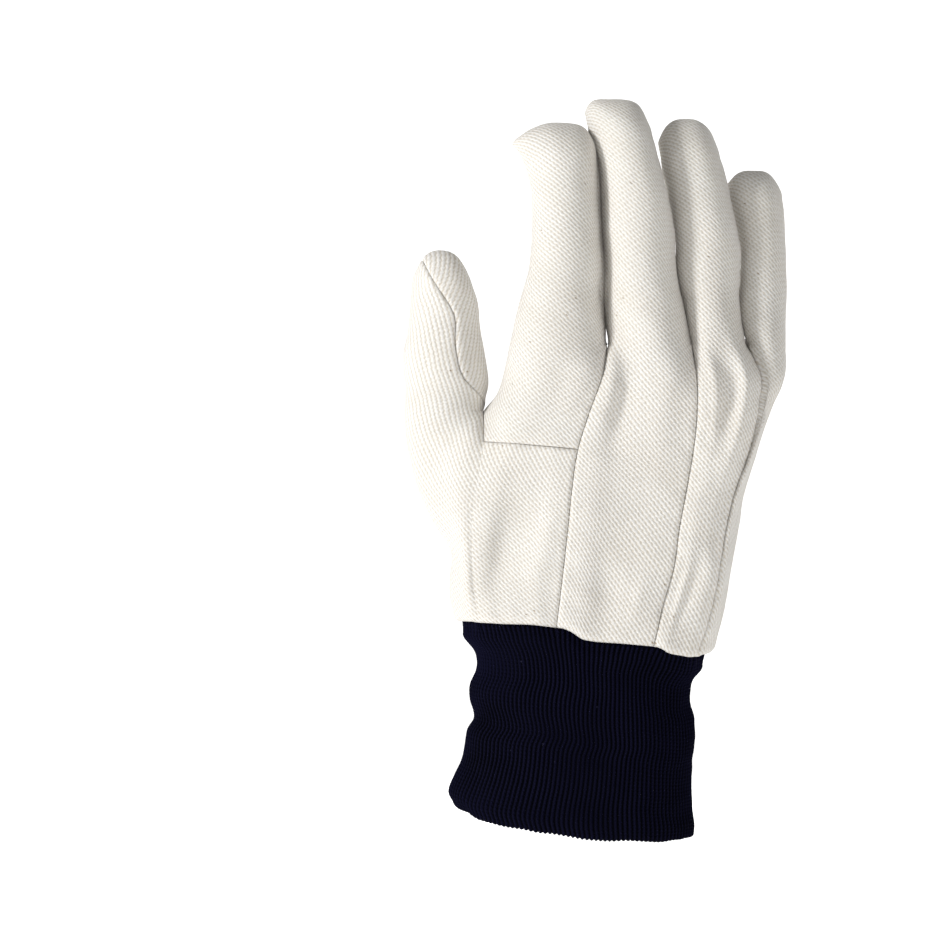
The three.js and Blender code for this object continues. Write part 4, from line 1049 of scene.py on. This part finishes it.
bpy.context.scene.collection.objects.link(cuff)
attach(cuff, "root")
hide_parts("knit_cuff")

# Rib knit: navy cotton yarn in columns of small V stitches, matte, with a thin
# bluish fuzz and a few specks of pale lint. u counts ribs, v is millimetres.
knit = bpy.data.materials.new("navy_rib_knit")
knit.use_nodes = True
tree = knit.node_tree
tree.nodes.clear()
STITCH_RISE = 1.35
uv = add_node(tree, "UVMap", {"uv_map": "knit"})
split = add_node(tree, "SeparateXYZ", {}, i0=uv)
in_rib = add_node(tree, "Math", {"operation": "PINGPONG", 1: 0.5}, i0=split)
lean = add_node(tree, "Math", {"operation": "MULTIPLY", 1: 1.1}, i0=in_rib)
rise = add_node(tree, "Math", {"operation": "DIVIDE", 1: STITCH_RISE}, i0=split.outputs[1])
stitch = add_node(tree, "Math", {"operation": "ADD"}, i0=rise, i1=lean)
stitch_turn = add_node(tree, "Math", {"operation": "MULTIPLY", 1: 2 * math.pi}, i0=stitch)
stitch_wave = add_node(tree, "Math", {"operation": "COSINE"}, i0=stitch_turn)
place = add_node(tree, "TexCoord")
hair = add_node(tree, "TexNoise", {"Scale": 1400.0, "Detail": 3.0, "Roughness": 0.75},
                Vector=place.outputs["Object"])
loops = add_node(tree, "Math", {"operation": "MULTIPLY_ADD", 1: 1.5}, i0=hair,
                 i2=stitch_wave)
bump = add_node(tree, "Bump", {"Strength": 0.8, "Distance": 0.00016}, Height=loops)
# Painted shade: the navy is darker (010104) in the valleys between the knit ribs, where shade falls; the
# ribs keep the yarn's own navy (0C0C20).
painted_valley_shade = add_node(tree, "MapRange", {"From Min": 0.05, "From Max": 0.45, "To Min": 1.0, "To Max": 0.0},
                  Value=in_rib)
yarn_with_painted_shade = add_node(tree, "Mix", {"data_type": "RGBA", 6: linear("010104"), 7: linear("0C0C20")},
                i0=painted_valley_shade)
lint = add_node(tree, "TexVoronoi", {"Scale": 260.0}, Vector=place.outputs["Object"])
lint_dot = add_node(tree, "MapRange", {"From Min": 0.06, "From Max": 0.11, "To Min": 1.0, "To Max": 0.0},
                    Value=lint.outputs["Distance"])
lint_lot = add_node(tree, "SeparateXYZ", {}, i0=lint.outputs["Color"])
lint_rare = add_node(tree, "Math", {"operation": "GREATER_THAN", 1: 0.95}, i0=lint_lot)
lint_speck = add_node(tree, "Math", {"operation": "MULTIPLY"}, i0=lint_dot, i1=lint_rare)
lint_part = add_node(tree, "Math", {"operation": "MULTIPLY", 1: 0.4}, i0=lint_speck)
colour = add_node(tree, "Mix", {"data_type": "RGBA", 7: linear("34344C")},
                  i0=lint_part, i6=yarn_with_painted_shade.outputs[2])
surface = add_node(tree, "BsdfPrincipled", {"Roughness": 1.0, "Specular IOR Level": 0.05},
                   Normal=bump)
tree.links.new(colour.outputs[2], surface.inputs["Base Color"])
add_node(tree, "OutputMaterial", {}, Surface=surface)
cuff.data.materials.append(knit)

# Studio
# A pale sheet of paper runs from below the glove up far behind it. A soft key
# light stands at the left, a weak one at the right, and one lights the palm side.
PAPER_LOW = -0.06
PAPER_FRONT = -6.0
PAPER_TURN = 5.9
PAPER_ROUND = 0.6
PAPER_HEIGHT = 4.0
PAPER_SIDE = 6.0
steps = np.linspace(0, math.pi / 2, 13)
profile = [(PAPER_FRONT, PAPER_LOW), (PAPER_TURN, PAPER_LOW)]
profile += [(PAPER_TURN + PAPER_ROUND * math.sin(a), PAPER_LOW + PAPER_ROUND * (1 - math.cos(a)))
            for a in steps[1:]]
profile.append((PAPER_TURN + PAPER_ROUND, PAPER_HEIGHT))
mesh = bpy.data.meshes.new("paper_sweep")
points = [(x, y, z) for y, z in profile for x in (-PAPER_SIDE, PAPER_SIDE)]
mesh.from_pydata(points, [], [(2 * i, 2 * i + 1, 2 * i + 3, 2 * i + 2) for i in range(len(profile) - 1)])
mesh.polygons.foreach_set("use_smooth", [True] * len(mesh.polygons))
paper = bpy.data.objects.new("paper_sweep", mesh)
bpy.context.scene.collection.objects.link(paper)
white = bpy.data.materials.new("matte_white_paper")
white.use_nodes = True
sheet = white.node_tree.nodes["Principled BSDF"].inputs
sheet["Base Color"].default_value = linear("FBFBFA")
sheet["Roughness"].default_value = 1.0
sheet["Emission Color"].default_value = (1, 1, 1, 1)
sheet["Emission Strength"].default_value = 0.65
paper.data.materials.append(white)


def soft_light(name, place, size, watts):
    lamp = bpy.data.lights.new(name, "AREA")
    lamp.size = size
    lamp.energy = watts
    holder = bpy.data.objects.new(name, lamp)
    holder.location = place
    aim = Vector((0.0, 0.0, 0.13)) - Vector(place)
    holder.rotation_euler = aim.to_track_quat("-Z", "Y").to_euler()
    bpy.context.scene.collection.objects.link(holder)


soft_light("key_light", (-2.3, -1.15, 0.95), 0.5, 58)
soft_light("fill_light", (1.2, -2.2, 0.5), 1.4, 9)
soft_light("back_light", (0.2, 2.6, 0.9), 1.2, 14)
world = bpy.data.worlds.new("studio_air")
world.use_nodes = True
world.node_tree.nodes["Background"].inputs[0].default_value = (1, 1, 1, 1)
world.node_tree.nodes["Background"].inputs[1].default_value = 0.3
bpy.context.scene.world = world
bpy.context.scene.view_settings.view_transform = "Standard"

# Camera
# Level, straight at the back of the hand, far off with a long lens. One pixel of
# the 950 pixel frame is 0.36 mm at the glove.
VIEW_WIDTH = 0.342
VIEW_DISTANCE = 4.0
lens = bpy.data.cameras.new("camera")
lens.sensor_width = 36
lens.lens = 36 * VIEW_DISTANCE / VIEW_WIDTH
camera = bpy.data.objects.new("camera", lens)
camera.location = (-0.036, -VIEW_DISTANCE, 0.1242)
camera.rotation_euler = (math.pi / 2, 0, 0)
bpy.context.scene.collection.objects.link(camera)
bpy.context.scene.camera = camera
